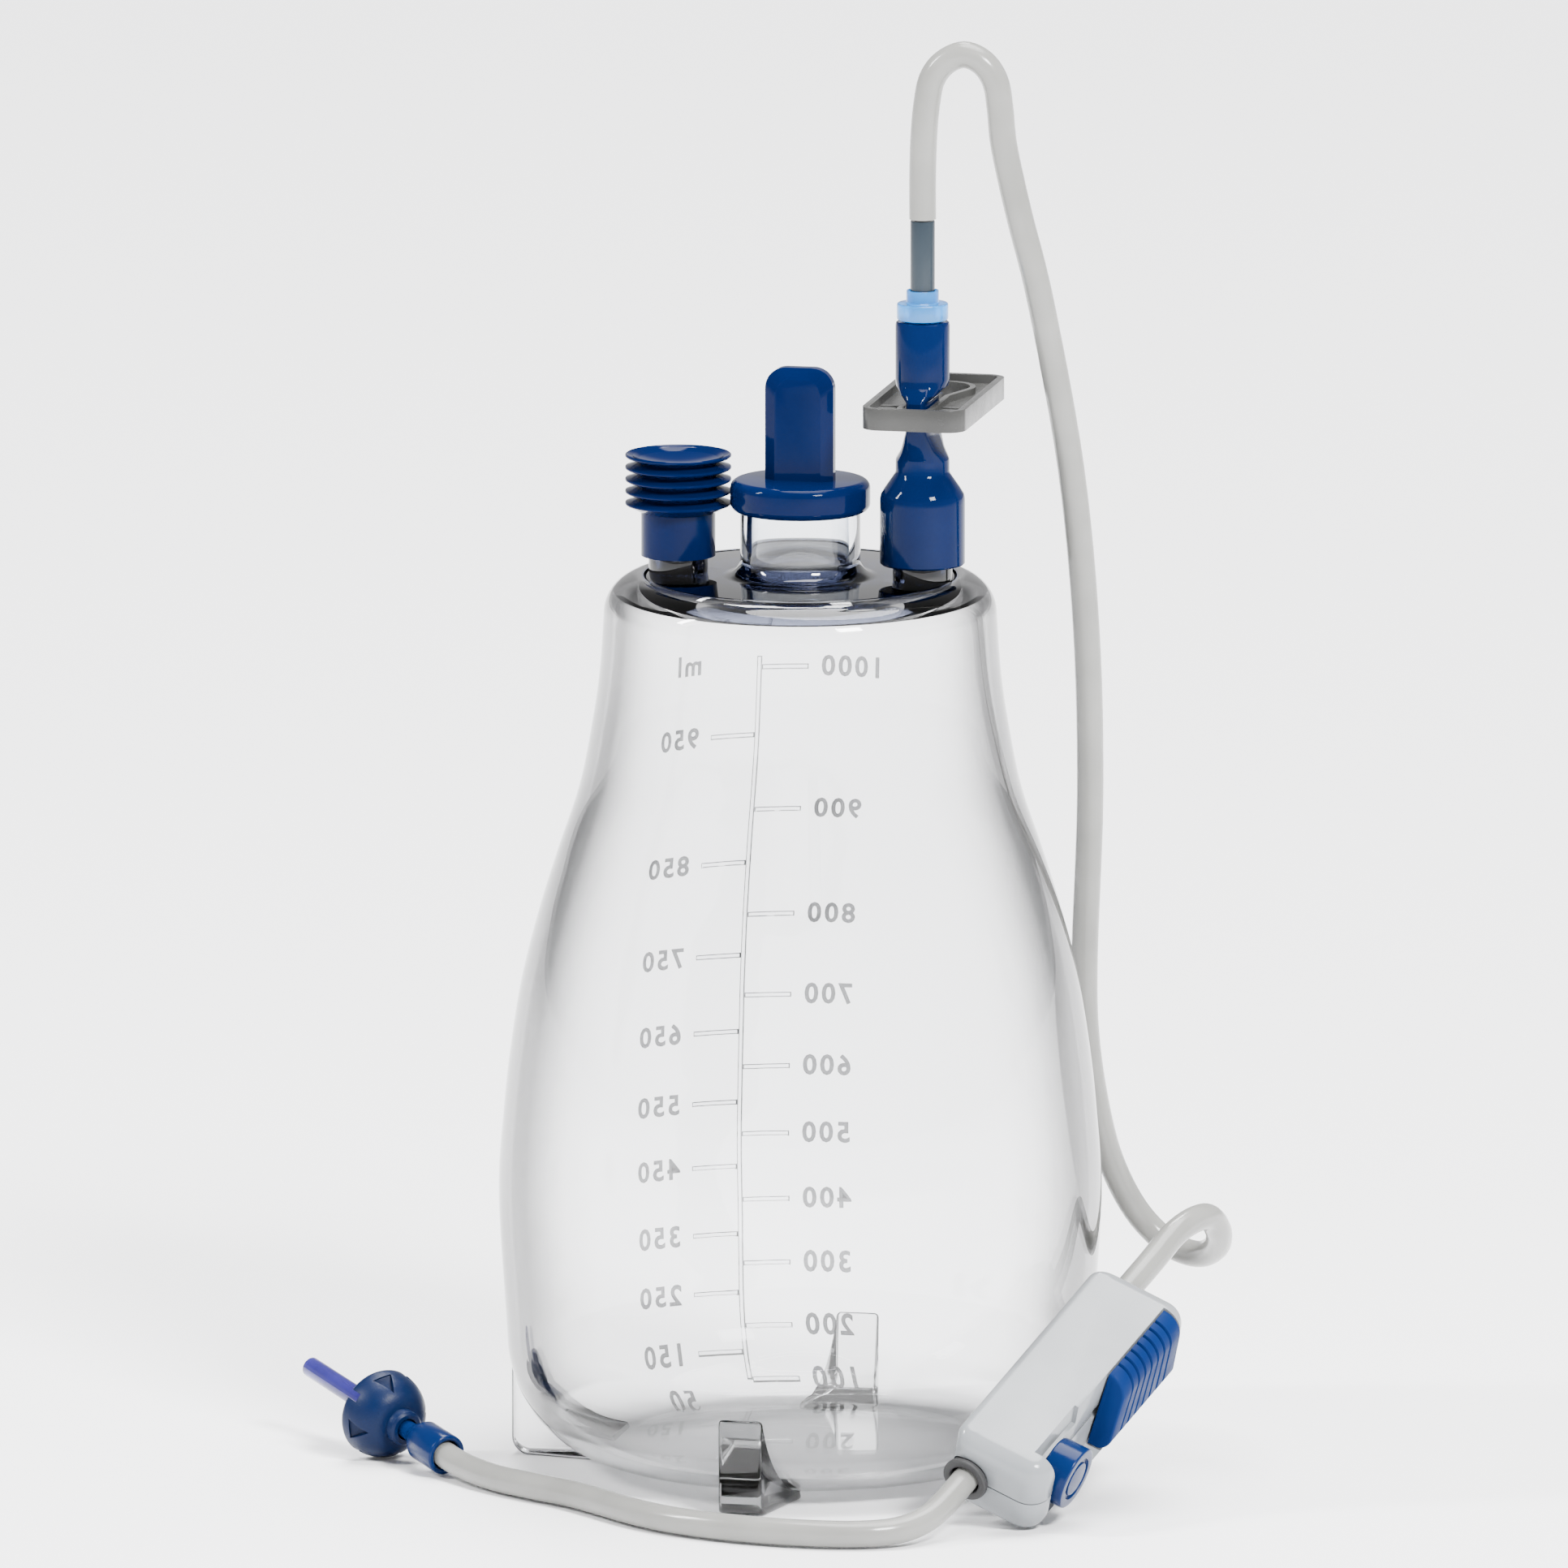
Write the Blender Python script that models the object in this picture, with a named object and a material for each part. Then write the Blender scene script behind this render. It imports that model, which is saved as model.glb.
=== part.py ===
"""Pleural drainage bottle: a clear vacuum bottle with its port plate, cap, bellows, sleeve and drainage line.

Metres, +Z up. The origin is the middle of the bottle's foot circle on the surface it stands on.
The two ports lie on the X axis, the drainage line's port on the +X side, and the feet on X and Y.
"""

import math

import bmesh
import bpy
from mathutils import Matrix, Vector

# Fits
TOUCH_GAP = 0.0003
SLIDE_GAP = 0.0004

# Facets round a full turn
BODY_FACETS = 40
NECK_FACETS = 32
PORT_FACETS = 24
SMALL_FACETS = 20

# Bottle body
BODY_RADIUS = 0.0538
BODY_HEIGHT = 0.1609
BODY_WALL = 0.0022
BODY_BASE_CLEARANCE = 0.0012
HEEL_FLAT_RADIUS = 0.0310
HEEL_HEIGHT = 0.0228
HEEL_TUCK = 0.0015
SHOULDER_FILLET = 0.0068
MOUTH_LIP = 0.0003
LEDGE_WIDTH = 0.0026
LEDGE_THICKNESS = 0.0010

# Feet, four fins that fill the corner under the rounded heel
FOOT_INSET = 0.0003
FOOT_HEIGHT = 0.0175
FOOT_TIP_WIDTH = 0.0076
FOOT_ROOT_WIDTH = 0.0150
FOOT_ROOT_RADIUS = 0.0330
FOOT_CORNER = 0.0032

# Port plate, welded into the bottle's mouth
PLATE_RADIUS = 0.0276
PLATE_THICKNESS = 0.0027
NECK_RADIUS = 0.0107
NECK_WALL = 0.0019
NECK_HEIGHT = 0.0147
NECK_FILLET = 0.0033
PORT_OFFSET = 0.0222
SPIGOT_RADIUS = 0.0050
SPIGOT_BORE = 0.0033
SPIGOT_HEIGHT = 0.0106
SPIGOT_COLLAR_RADIUS = 0.0053
SPIGOT_COLLAR_HEIGHT = 0.0025

# Bellows that shows whether the vacuum holds
STEM_RADIUS = 0.00665
STEM_HEIGHT = 0.0078
BELLOWS_RADIUS = 0.0095
BELLOWS_VALLEY_RADIUS = 0.0072
BELLOWS_PITCH = 0.00215
BELLOWS_RIDGES = 5
BELLOWS_WALL = 0.0009
BELLOWS_DISH_DEPTH = 0.0019

# Cap with its pull tab
CAP_RADIUS = 0.0125
CAP_HEIGHT = 0.0057
CAP_ROOF = 0.0023
CAP_PLUG_WALL = 0.0016
CAP_EDGE = 0.0013
TAB_WIDTH = 0.0124
TAB_HEIGHT = 0.0202
TAB_THICKNESS = 0.0048
TAB_CORNER = 0.0038
TAB_BEVEL = 0.0020
TAB_BEVEL_DEPTH = 0.0014
TAB_ROOT = 0.0012

# Sleeve on the drainage port, pinched flat at its waist
SLEEVE_RADIUS = 0.0076
SLEEVE_SHOULDER_HEIGHT = 0.0118
SLEEVE_NECK_RADIUS = 0.0048
SLEEVE_NECK_HEIGHT = 0.0166
WAIST_HALF_WIDTH = 0.00205
WAIST_HALF_DEPTH = 0.0070
WAIST_HEIGHT = 0.0251
WAIST_LENGTH = 0.0048
WAIST_SQUARENESS = 4.0
SLEEVE_TOP_RADIUS = 0.00485
SLEEVE_HEIGHT = 0.0438

# Slide clamp
PLATE_CLAMP_WIDTH = 0.0187
PLATE_CLAMP_LENGTH = 0.0400
PLATE_CLAMP_THICKNESS = 0.0039
PLATE_CLAMP_FRONT = 0.0104
PLATE_CLAMP_CORNER = 0.0016
PLATE_CLAMP_RIM = 0.0013
PLATE_CLAMP_RECESS = 0.0015
KEYHOLE_RADIUS = 0.0050
KEYHOLE_OFFSET = 0.0170
KEYHOLE_TAPER_START = 0.0080
KEYHOLE_RIM = 0.0010
GRIP_BARS = 3
GRIP_BAR_WIDTH = 0.0012
GRIP_BAR_PITCH = 0.0026
GRIP_BAR_HEIGHT = 0.0008

# Collar and insert between the sleeve and the tube
COLLAR_FLANGE_RADIUS = 0.0046
COLLAR_FLANGE_HEIGHT = 0.0030
COLLAR_SPIGOT_RADIUS = 0.0031
COLLAR_SPIGOT_LENGTH = 0.0065
COLLAR_NECK_RADIUS = 0.0029
COLLAR_NECK_HEIGHT = 0.0023
INSERT_RADIUS = 0.0022
INSERT_WALL = 0.0007
INSERT_SHOWN = 0.0125

# Drainage tube
TUBE_RADIUS = 0.0024
TUBE_STEPS = 2

# Flow clamp on the tube: its own frame has X along the tube, Z out of the broad face
CLAMP_CENTRE = Vector((0.0553, -0.0334, 0.0199))
CLAMP_HEADING = math.radians(-111.5)
CLAMP_PITCH = math.radians(26.0)
CLAMP_ROLL = math.radians(25.0)
CLAMP_LENGTH = 0.0540
CLAMP_WIDTH = 0.0190
CLAMP_HALF_HEIGHT = 0.0081
CLAMP_EDGE = 0.0038
CLAMP_BACK_EDGE = 0.0018
CLAMP_CORNER = 0.0042
CLAMP_WALL = 0.0017
TUBE_LANE = 0.0048
WINDOW_BACK = -0.0233
WINDOW_FRONT = 0.0219
WINDOW_DEPTH = 0.0039
WINDOW_SILL = 0.0066
WINDOW_STEP = 0.0075
WINDOW_STEP_DEPTH = 0.0008
INNER_WALL = 0.0016
SLIT_HALF_HEIGHT = 0.0013
BORE_GAP = 0.0004
BUSH_WALL = 0.0009
BUSH_FLANGE = 0.0006
BUSH_FLANGE_LENGTH = 0.0011

# Thumb slider
SLIDER_LENGTH = 0.0200
SLIDER_BULGE = 0.0005
SLIDER_LEAN = 0.0040
SLIDER_TRAVEL = 0.0085
GROOVE_COUNT = 7
GROOVE_PITCH = 0.0022
GROOVE_WIDTH = 0.0007
GROOVE_DEPTH = 0.0005
GROOVE_START = 0.0032
SLIDER_NECK_LENGTH = 0.0110
SLIDER_NECK_INSET = 0.0036
SLIDER_FOOT_HALF_HEIGHT = 0.0036

# Lock wheel and its pin
WHEEL_RADIUS = 0.0058
WHEEL_PROUD = 0.0017
WHEEL_EDGE = 0.0007
WHEEL_RING_RADIUS = 0.0036
WHEEL_RING_WIDTH = 0.0008
WHEEL_RING_DEPTH = 0.0004
PIN_RADIUS = 0.0012
PIN_DEPTH = 0.0032

# Connector at the patient's end, along its own Z axis from the tube's end to the tip
HUB_END = Vector((-0.0585, -0.0275))
HUB_HEADING = math.radians(135.0)
HUB_RADIUS = 0.0037
HUB_LENGTH = 0.0076
HUB_CONE = 0.0032
HUB_NECK_RADIUS = 0.0017
HUB_NECK_LENGTH = 0.0056
HUB_SOCKET_DEPTH = 0.0040
DOME_RADIUS = 0.0080
DOME_START = 0.0134
DOME_COLLAR_RADIUS = 0.0032
DOME_COLLAR_WALL = 0.0009
DOME_COLLAR_HEIGHT = 0.0022
DOME_DEPTH = 0.0092
DOME_WALL = 0.0022
DOME_BOSS_RADIUS = 0.0030
DOME_BOSS_HEIGHT = 0.0062
DOME_HOLLOWS = 4
DOME_HOLLOW_SIZE = 0.0038
DOME_HOLLOW_DEPTH = 0.0014
DOME_TURN = math.radians(32.5)
DOME_NOTCHES = 4
DOME_NOTCH_WIDTH = 0.0016
DOME_NOTCH_DEPTH = 0.0022
TIP_RADIUS = 0.0011
TIP_LENGTH = 0.0275
SHEATH_RADIUS = 0.00185
SHEATH_WALL = 0.00045
SHEATH_LENGTH = 0.0240


def clear_scene():
    for item in list(bpy.data.objects):
        bpy.data.objects.remove(item, do_unlink=True)


def make_material(name, colour, roughness, transmission=0.0):
    material = bpy.data.materials.new(name)
    material.use_nodes = True
    shader = material.node_tree.nodes["Principled BSDF"]
    shader.inputs["Base Color"].default_value = (*colour, 1.0)
    shader.inputs["Roughness"].default_value = roughness
    shader.inputs["Transmission Weight"].default_value = transmission
    material.diffuse_color = (*colour, 1.0)
    return material


def object_from(name, bm, material):
    """An object that holds this closed mesh, with its faces turned out and its round sides shaded smooth."""
    bmesh.ops.recalc_face_normals(bm, faces=bm.faces)
    mesh = bpy.data.meshes.new(name)
    bm.to_mesh(mesh)
    bm.free()
    mesh.shade_smooth()
    mesh.set_sharp_from_angle(angle=math.radians(35.0))
    item = bpy.data.objects.new(name, mesh)
    bpy.context.scene.collection.objects.link(item)
    if material:
        mesh.materials.append(material)
    return item


def arc(centre, radius, start, end, steps, squash=1.0):
    """Points on an arc in a (radius, height) plane, angles in degrees, its height scaled by squash."""
    points = []
    for step in range(steps + 1):
        angle = math.radians(start + (end - start) * step / steps)
        points.append(
            (centre[0] + radius * math.cos(angle), centre[1] + radius * squash * math.sin(angle))
        )
    return points


def smooth_through(points, steps):
    """A Catmull-Rom curve through these points, with this many steps between two of them."""
    known = [Vector(p) for p in points]
    ends = [2 * known[0] - known[1], *known, 2 * known[-1] - known[-2]]
    out = []
    for i in range(1, len(ends) - 2):
        a, b, c, d = ends[i - 1 : i + 3]
        for step in range(steps):
            t = step / steps
            bend = (2 * a - 5 * b + 4 * c - d) * t**2 + (3 * b - a - 3 * c + d) * t**3
            out.append(0.5 * (2 * b + (c - a) * t + bend))
    out.append(known[-1])
    return out


def inset(profile, distance):
    """The profile moved this far to its left, which is inwards on an outer wall that runs upwards."""
    out = []
    for i, (x, z) in enumerate(profile):
        before = profile[max(i - 1, 0)]
        after = profile[min(i + 1, len(profile) - 1)]
        along = Vector((after[0] - before[0], after[1] - before[1])).normalized()
        out.append((x - along.y * distance, z + along.x * distance))
    return out


def turned_mesh(profile, facets):
    """A closed turned mesh about Z. A profile that starts and ends off the axis is joined end to end."""
    bm = bmesh.new()
    rings = []
    for radius, height in profile:
        if radius < 1e-7:
            rings.append([bm.verts.new((0, 0, height))])
            continue
        turns = [2 * math.pi * k / facets for k in range(facets)]
        rings.append([bm.verts.new((radius * math.cos(t), radius * math.sin(t), height)) for t in turns])
    pairs = list(zip(rings, rings[1:]))
    if len(rings[0]) > 1:
        pairs.append((rings[-1], rings[0]))
    for low, high in pairs:
        if len(low) == len(high) == 1:
            continue
        for k in range(facets):
            n = (k + 1) % facets
            if len(low) == 1:
                bm.faces.new((low[0], high[n], high[k]))
            elif len(high) == 1:
                bm.faces.new((low[k], low[n], high[0]))
            else:
                bm.faces.new((low[k], low[n], high[n], high[k]))
    return bm


def turned(name, profile, facets, material):
    return object_from(name, turned_mesh(profile, facets), material)


def lofted(name, rings, material):
    """A closed skin over rings of equally many points, with a flat cap on its two ends."""
    bm = bmesh.new()
    rows = [[bm.verts.new(point) for point in ring] for ring in rings]
    count = len(rows[0])
    for low, high in zip(rows, rows[1:]):
        for k in range(count):
            n = (k + 1) % count
            bm.faces.new((low[k], low[n], high[n], high[k]))
    bm.faces.new(reversed(rows[0]))
    bm.faces.new(rows[-1])
    return object_from(name, bm, material)


def prism(name, outline, low, high, material=None):
    """An upright prism over this plan outline."""
    rings = [[(x, y, z) for x, y in outline] for z in (low, high)]
    return lofted(name, rings, material)


def block(name, low, high, material=None):
    outline = [(low[0], low[1]), (high[0], low[1]), (high[0], high[1]), (low[0], high[1])]
    return prism(name, outline, low[2], high[2], material)


def helper(item):
    """Keeps a cutter or a joined shape out of the render."""
    item.hide_render = True
    item.display_type = "WIRE"
    return item


def combine(target, tool, operation):
    helper(tool)
    modifier = target.modifiers.new(tool.name, "BOOLEAN")
    modifier.operation = operation
    modifier.solver = "EXACT"
    modifier.object = tool


def cut(target, tool):
    combine(target, tool, "DIFFERENCE")


def join(target, tool):
    combine(target, tool, "UNION")


def frame(name, matrix):
    """An empty that carries the pieces of one assembly in its own axes."""
    item = bpy.data.objects.new(name, None)
    item.matrix_world = matrix
    bpy.context.scene.collection.objects.link(item)
    return item


def carry(parent, *items):
    for item in items:
        item.parent = parent


# Bottle body

MOUTH_RADIUS = PLATE_RADIUS + TOUCH_GAP
SHOULDER_CENTRE = (MOUTH_RADIUS + MOUTH_LIP, BODY_HEIGHT - SHOULDER_FILLET)
SHOULDER_RADIUS = SHOULDER_CENTRE[0] + SHOULDER_FILLET
LEDGE_HEIGHT = BODY_HEIGHT - PLATE_THICKNESS - TOUCH_GAP
HEEL_TOP = BODY_BASE_CLEARANCE + HEEL_HEIGHT
HEEL_RADIUS = BODY_RADIUS - HEEL_TUCK
FOOT_REACH = HEEL_RADIUS - FOOT_INSET

# The flank's waist line: shares of the way from heel to shoulder, each with its share of the body's radius
FLANK = [
    (0.19, 1.000),
    (0.31, 0.983),
    (0.40, 0.959),
    (0.49, 0.924),
    (0.58, 0.870),
    (0.67, 0.803),
    (0.76, 0.731),
    (0.85, 0.688),
    (0.92, 0.664),
]


def heel_profile():
    squash = HEEL_HEIGHT / (HEEL_RADIUS - HEEL_FLAT_RADIUS)
    return arc((HEEL_FLAT_RADIUS, HEEL_TOP), HEEL_RADIUS - HEEL_FLAT_RADIUS, -90, 0, 5, squash)


def body_profile():
    """The wall keeps its thickness up to the shoulder, where a thin ledge carries the port plate."""
    rise = SHOULDER_CENTRE[1] - HEEL_TOP
    flank = [(HEEL_RADIUS, HEEL_TOP)]
    flank += [(share * BODY_RADIUS, HEEL_TOP + height * rise) for height, share in FLANK]
    flank += [(SHOULDER_RADIUS, SHOULDER_CENTRE[1])]
    outer = [*heel_profile(), *flank[1:-1], *arc(SHOULDER_CENTRE, SHOULDER_FILLET, 0, 90, 4)]
    wall = inset([*heel_profile(), *flank[1:]], BODY_WALL)
    ceiling = LEDGE_HEIGHT - LEDGE_THICKNESS
    inner_fillet = SHOULDER_FILLET - BODY_WALL
    under_ledge = math.degrees(math.asin((ceiling - SHOULDER_CENTRE[1]) / inner_fillet))
    return [
        (0, BODY_BASE_CLEARANCE),
        *outer,
        (MOUTH_RADIUS, BODY_HEIGHT),
        (MOUTH_RADIUS, LEDGE_HEIGHT),
        (MOUTH_RADIUS - LEDGE_WIDTH, LEDGE_HEIGHT),
        (MOUTH_RADIUS - LEDGE_WIDTH, ceiling),
        *arc(SHOULDER_CENTRE, inner_fillet, under_ledge, 0, 2),
        *reversed(wall[:-1]),
        (0, BODY_BASE_CLEARANCE + BODY_WALL),
    ]


def foot_profile():
    """A fin's outline as radius and height, from the heel down to the floor and up its outer edge."""
    heel = inset(heel_profile(), BODY_WALL / 2)
    seat = [p for p in reversed(heel) if FOOT_ROOT_RADIUS < p[0] and p[1] < FOOT_HEIGHT]
    corner = arc((FOOT_REACH - FOOT_CORNER, FOOT_CORNER), FOOT_CORNER, 0, -90, 5)
    return [*seat, (FOOT_ROOT_RADIUS, 0), *reversed(corner), (FOOT_REACH, FOOT_HEIGHT)]


def make_feet(body):
    for number in range(4):
        turn = Matrix.Rotation(number * math.pi / 2, 4, "Z")
        rings = []
        for side in (-0.5, 0.5):
            ring = []
            for radius, height in foot_profile():
                share = (FOOT_REACH - radius) / (FOOT_REACH - FOOT_ROOT_RADIUS)
                width = FOOT_TIP_WIDTH + share * (FOOT_ROOT_WIDTH - FOOT_TIP_WIDTH)
                ring.append(turn @ Vector((radius, side * width, height)))
            rings.append(ring)
        join(body, lofted(f"foot_shape_{number}", rings, None))


def make_body(clear):
    body = turned("bottle_body", body_profile(), BODY_FACETS, clear)
    make_feet(body)
    return body


# Port plate

PLATE_BOTTOM = BODY_HEIGHT - PLATE_THICKNESS
NECK_TOP = BODY_HEIGHT + NECK_HEIGHT
NECK_BORE = NECK_RADIUS - NECK_WALL
SPIGOT_TOP = BODY_HEIGHT + SPIGOT_HEIGHT
SEAT_TOP = BODY_HEIGHT + SPIGOT_COLLAR_HEIGHT + TOUCH_GAP


def make_port_plate(clear):
    neck = NECK_RADIUS + NECK_FILLET
    profile = [
        (NECK_BORE, PLATE_BOTTOM),
        (PLATE_RADIUS, PLATE_BOTTOM),
        (PLATE_RADIUS, BODY_HEIGHT),
        *reversed(arc((neck, BODY_HEIGHT + NECK_FILLET), NECK_FILLET, 180, 270, 4)),
        (NECK_RADIUS, NECK_TOP - NECK_WALL / 4),
        (NECK_RADIUS - NECK_WALL / 4, NECK_TOP),
        (NECK_BORE + NECK_WALL / 4, NECK_TOP),
        (NECK_BORE, NECK_TOP - NECK_WALL / 4),
    ]
    plate = turned("port_plate", profile, NECK_FACETS, clear)
    for side in (-1, 1):
        spigot = [
            (0, PLATE_BOTTOM + PLATE_THICKNESS / 2),
            (SPIGOT_COLLAR_RADIUS, PLATE_BOTTOM + PLATE_THICKNESS / 2),
            (SPIGOT_COLLAR_RADIUS, BODY_HEIGHT + SPIGOT_COLLAR_HEIGHT),
            (SPIGOT_RADIUS, BODY_HEIGHT + SPIGOT_COLLAR_HEIGHT),
            (SPIGOT_RADIUS, SPIGOT_TOP - NECK_WALL / 2),
            (SPIGOT_RADIUS - NECK_WALL / 4, SPIGOT_TOP),
            (0, SPIGOT_TOP),
        ]
        shape = turned(f"spigot_shape_{side}", spigot, PORT_FACETS, None)
        shape.location.x = side * PORT_OFFSET
        shape.rotation_euler.z = math.pi / PORT_FACETS
        join(plate, shape)
    for side in (-1, 1):
        hole = [
            (0, PLATE_BOTTOM - BODY_WALL),
            (SPIGOT_BORE, PLATE_BOTTOM - BODY_WALL),
            (SPIGOT_BORE, SPIGOT_TOP + BODY_WALL),
            (0, SPIGOT_TOP + BODY_WALL),
        ]
        drill = turned(f"spigot_bore_{side}", hole, PORT_FACETS, None)
        drill.location.x = side * PORT_OFFSET
        drill.rotation_euler.z = math.pi / PORT_FACETS / 2
        cut(plate, drill)
    return plate


# Bellows

SOCKET_RADIUS = SPIGOT_RADIUS + TOUCH_GAP
SOCKET_TOP = SPIGOT_TOP + TOUCH_GAP


def make_bellows(rubber):
    stem_top = SEAT_TOP + STEM_HEIGHT
    first = stem_top + BELLOWS_PITCH * 0.75
    outer = [(SOCKET_RADIUS, SEAT_TOP), (STEM_RADIUS, SEAT_TOP), (STEM_RADIUS, stem_top)]
    inner = []
    for ridge in range(BELLOWS_RIDGES):
        height = first + ridge * BELLOWS_PITCH
        outer.append((BELLOWS_RADIUS, height - BELLOWS_PITCH * 0.14))
        outer.append((BELLOWS_RADIUS, height + BELLOWS_PITCH * 0.14))
        inner.append((BELLOWS_RADIUS - 1.6 * BELLOWS_WALL, height))
        if ridge < BELLOWS_RIDGES - 1:
            outer.append((BELLOWS_VALLEY_RADIUS, height + BELLOWS_PITCH * 0.5))
            inner.append((BELLOWS_VALLEY_RADIUS - BELLOWS_WALL, height + BELLOWS_PITCH * 0.5))
    rim = outer[-1][1]
    dish = [
        (BELLOWS_RADIUS * share, rim - BELLOWS_DISH_DEPTH * (1 - share**2))
        for share in (0.9, 0.7, 0.45, 0.2, 0.0)
    ]
    under = [(0.0, dish[-1][1] - BELLOWS_WALL), (BELLOWS_RADIUS * 0.45, dish[2][1] - BELLOWS_WALL)]
    profile = [*outer, *dish, *under, *reversed(inner), (SOCKET_RADIUS, SOCKET_TOP)]
    bellows = turned("vacuum_bellows", profile, PORT_FACETS, rubber)
    bellows.location.x = -PORT_OFFSET
    return bellows


# Cap

CAP_TOP = NECK_TOP + TOUCH_GAP + CAP_ROOF
CAP_BOTTOM = CAP_TOP - CAP_HEIGHT


def make_cap(rubber):
    """The cap sits over the neck's rim, with a plug ring inside the bore, and slides up the neck's axis."""
    skirt = NECK_RADIUS + TOUCH_GAP
    plug = NECK_BORE - TOUCH_GAP
    top = CAP_TOP - CAP_BOTTOM
    seat = top - CAP_ROOF
    radius = CAP_RADIUS - CAP_EDGE
    profile = [
        (0, seat),
        (plug - CAP_PLUG_WALL, seat),
        (plug - CAP_PLUG_WALL, CAP_EDGE / 2),
        (plug, CAP_EDGE / 2),
        (plug, seat),
        (skirt, seat),
        (skirt, 0),
        *arc((radius, CAP_EDGE), CAP_EDGE, -90, 0, 4),
        *arc((radius, top - CAP_EDGE), CAP_EDGE, 0, 90, 4),
        (0, top),
    ]
    cap = turned("neck_cap", profile, NECK_FACETS, rubber)
    cap.location.z = CAP_BOTTOM
    half = TAB_WIDTH / 2
    corner = arc((half - TAB_CORNER, TAB_HEIGHT - TAB_CORNER), TAB_CORNER, 0, 90, 6)
    outline = [(half, -TAB_ROOT), *corner]
    outline += [(-x, z) for x, z in reversed(outline)]
    rows = []
    for depth, shrink in tab_sections():
        squeezed = []
        for x, z in outline:
            squeezed.append((x * (1 - shrink / half), depth, z if z < 0 else z - shrink * z / TAB_HEIGHT))
        rows.append(squeezed)
    tab = lofted("tab_shape", rows, None)
    tab.location.z = CAP_TOP
    join(cap, tab)
    return cap


def tab_sections():
    """The tab's slices from front to back, as depth and how far the outline draws in at its flat faces."""
    half = TAB_THICKNESS / 2
    flank = half - TAB_BEVEL_DEPTH
    return [(-half, TAB_BEVEL), (-flank, 0.0), (flank, 0.0), (half, TAB_BEVEL)]


# Sleeve

SLEEVE_BOTTOM = SEAT_TOP
SLEEVE_TOP = SLEEVE_BOTTOM + SLEEVE_HEIGHT
WAIST_BOTTOM = SLEEVE_BOTTOM + WAIST_HEIGHT
WAIST_TOP = WAIST_BOTTOM + WAIST_LENGTH
COLLAR_SEAT = SLEEVE_TOP + TOUCH_GAP


def sleeve_outside():
    """The sleeve's outer sections from top to bottom: height, the two half-widths and how square they are."""
    top, waist_top, waist_bottom = SLEEVE_TOP, WAIST_TOP, WAIST_BOTTOM
    shoulder = SLEEVE_BOTTOM + SLEEVE_SHOULDER_HEIGHT
    neck = SLEEVE_BOTTOM + SLEEVE_NECK_HEIGHT
    width, depth, round_top = WAIST_HALF_WIDTH, WAIST_HALF_DEPTH, SLEEVE_TOP_RADIUS
    neck_radius, radius = SLEEVE_NECK_RADIUS, SLEEVE_RADIUS
    step = radius - neck_radius
    pinched = WAIST_SQUARENESS
    return [
        (top, round_top * 0.92, round_top * 0.92, 2.0),
        (top - 0.0006, round_top, round_top, 2.0),
        (waist_top + 0.0034, round_top, round_top, 2.0),
        (waist_top + 0.0024, round_top * 0.94, round_top * 1.04, 2.3),
        (waist_top + 0.0012, (round_top + width) / 2, (round_top + depth * 2) / 3, 3.0),
        (waist_top, width, depth, pinched),
        (waist_bottom, width, depth, pinched),
        (waist_bottom - 0.0014, width * 1.20, depth * 0.98, pinched),
        (waist_bottom - 0.0040, (neck_radius + width) / 2, (neck_radius + depth) / 2, 3.0),
        (neck + 0.0024, neck_radius, neck_radius, 2.0),
        (neck, neck_radius, neck_radius, 2.0),
        (neck - 0.0009, neck_radius + step * 0.22, neck_radius + step * 0.22, 2.0),
        (shoulder + 0.0022, radius - step * 0.36, radius - step * 0.36, 2.0),
        (shoulder + 0.0010, radius - step * 0.08, radius - step * 0.08, 2.0),
        (shoulder - 0.0006, radius, radius, 2.0),
        (SLEEVE_BOTTOM, radius, radius, 2.0),
    ]


def sleeve_ring(height, half_width, half_depth, squareness=2.0):
    """One section: an ellipse at squareness 2, with flatter sides as it grows."""
    ring = []
    for k in range(PORT_FACETS):
        angle = 2 * math.pi * k / PORT_FACETS
        across, along = math.cos(angle), math.sin(angle)
        x = math.copysign(abs(across) ** (2 / squareness), across)
        y = math.copysign(abs(along) ** (2 / squareness), along)
        ring.append((half_width * x, half_depth * y, height))
    return ring


def make_sleeve(silicone):
    """The two bores stop at the waist, where the walls meet. The sections run from bore to bore."""
    socket = COLLAR_SPIGOT_RADIUS + TOUCH_GAP
    pinch = WAIST_HALF_DEPTH * 0.72
    slack = WAIST_HALF_WIDTH * 0.25
    upper_bore = [
        (WAIST_TOP + 0.0002, slack, pinch),
        (WAIST_TOP + 0.0028, socket * 0.6, socket * 1.2),
        (WAIST_TOP + 0.0052, socket, socket),
        (SLEEVE_TOP, socket, socket),
    ]
    lower_bore = [
        (SLEEVE_BOTTOM, SOCKET_RADIUS, SOCKET_RADIUS),
        (SOCKET_TOP, SOCKET_RADIUS, SOCKET_RADIUS),
        (SLEEVE_BOTTOM + SLEEVE_SHOULDER_HEIGHT, SOCKET_RADIUS * 0.86, SOCKET_RADIUS * 0.86),
        (SLEEVE_BOTTOM + SLEEVE_NECK_HEIGHT, SLEEVE_NECK_RADIUS * 0.62, SLEEVE_NECK_RADIUS * 0.62),
        (WAIST_BOTTOM - 0.0044, SLEEVE_NECK_RADIUS * 0.4, SLEEVE_NECK_RADIUS * 0.7),
        (WAIST_BOTTOM - 0.0008, slack, pinch),
    ]
    rings = [sleeve_ring(*section) for section in [*upper_bore, *sleeve_outside(), *lower_bore]]
    sleeve = lofted("port_sleeve", rings, silicone)
    sleeve.location.x = PORT_OFFSET
    return sleeve


# Slide clamp


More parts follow.
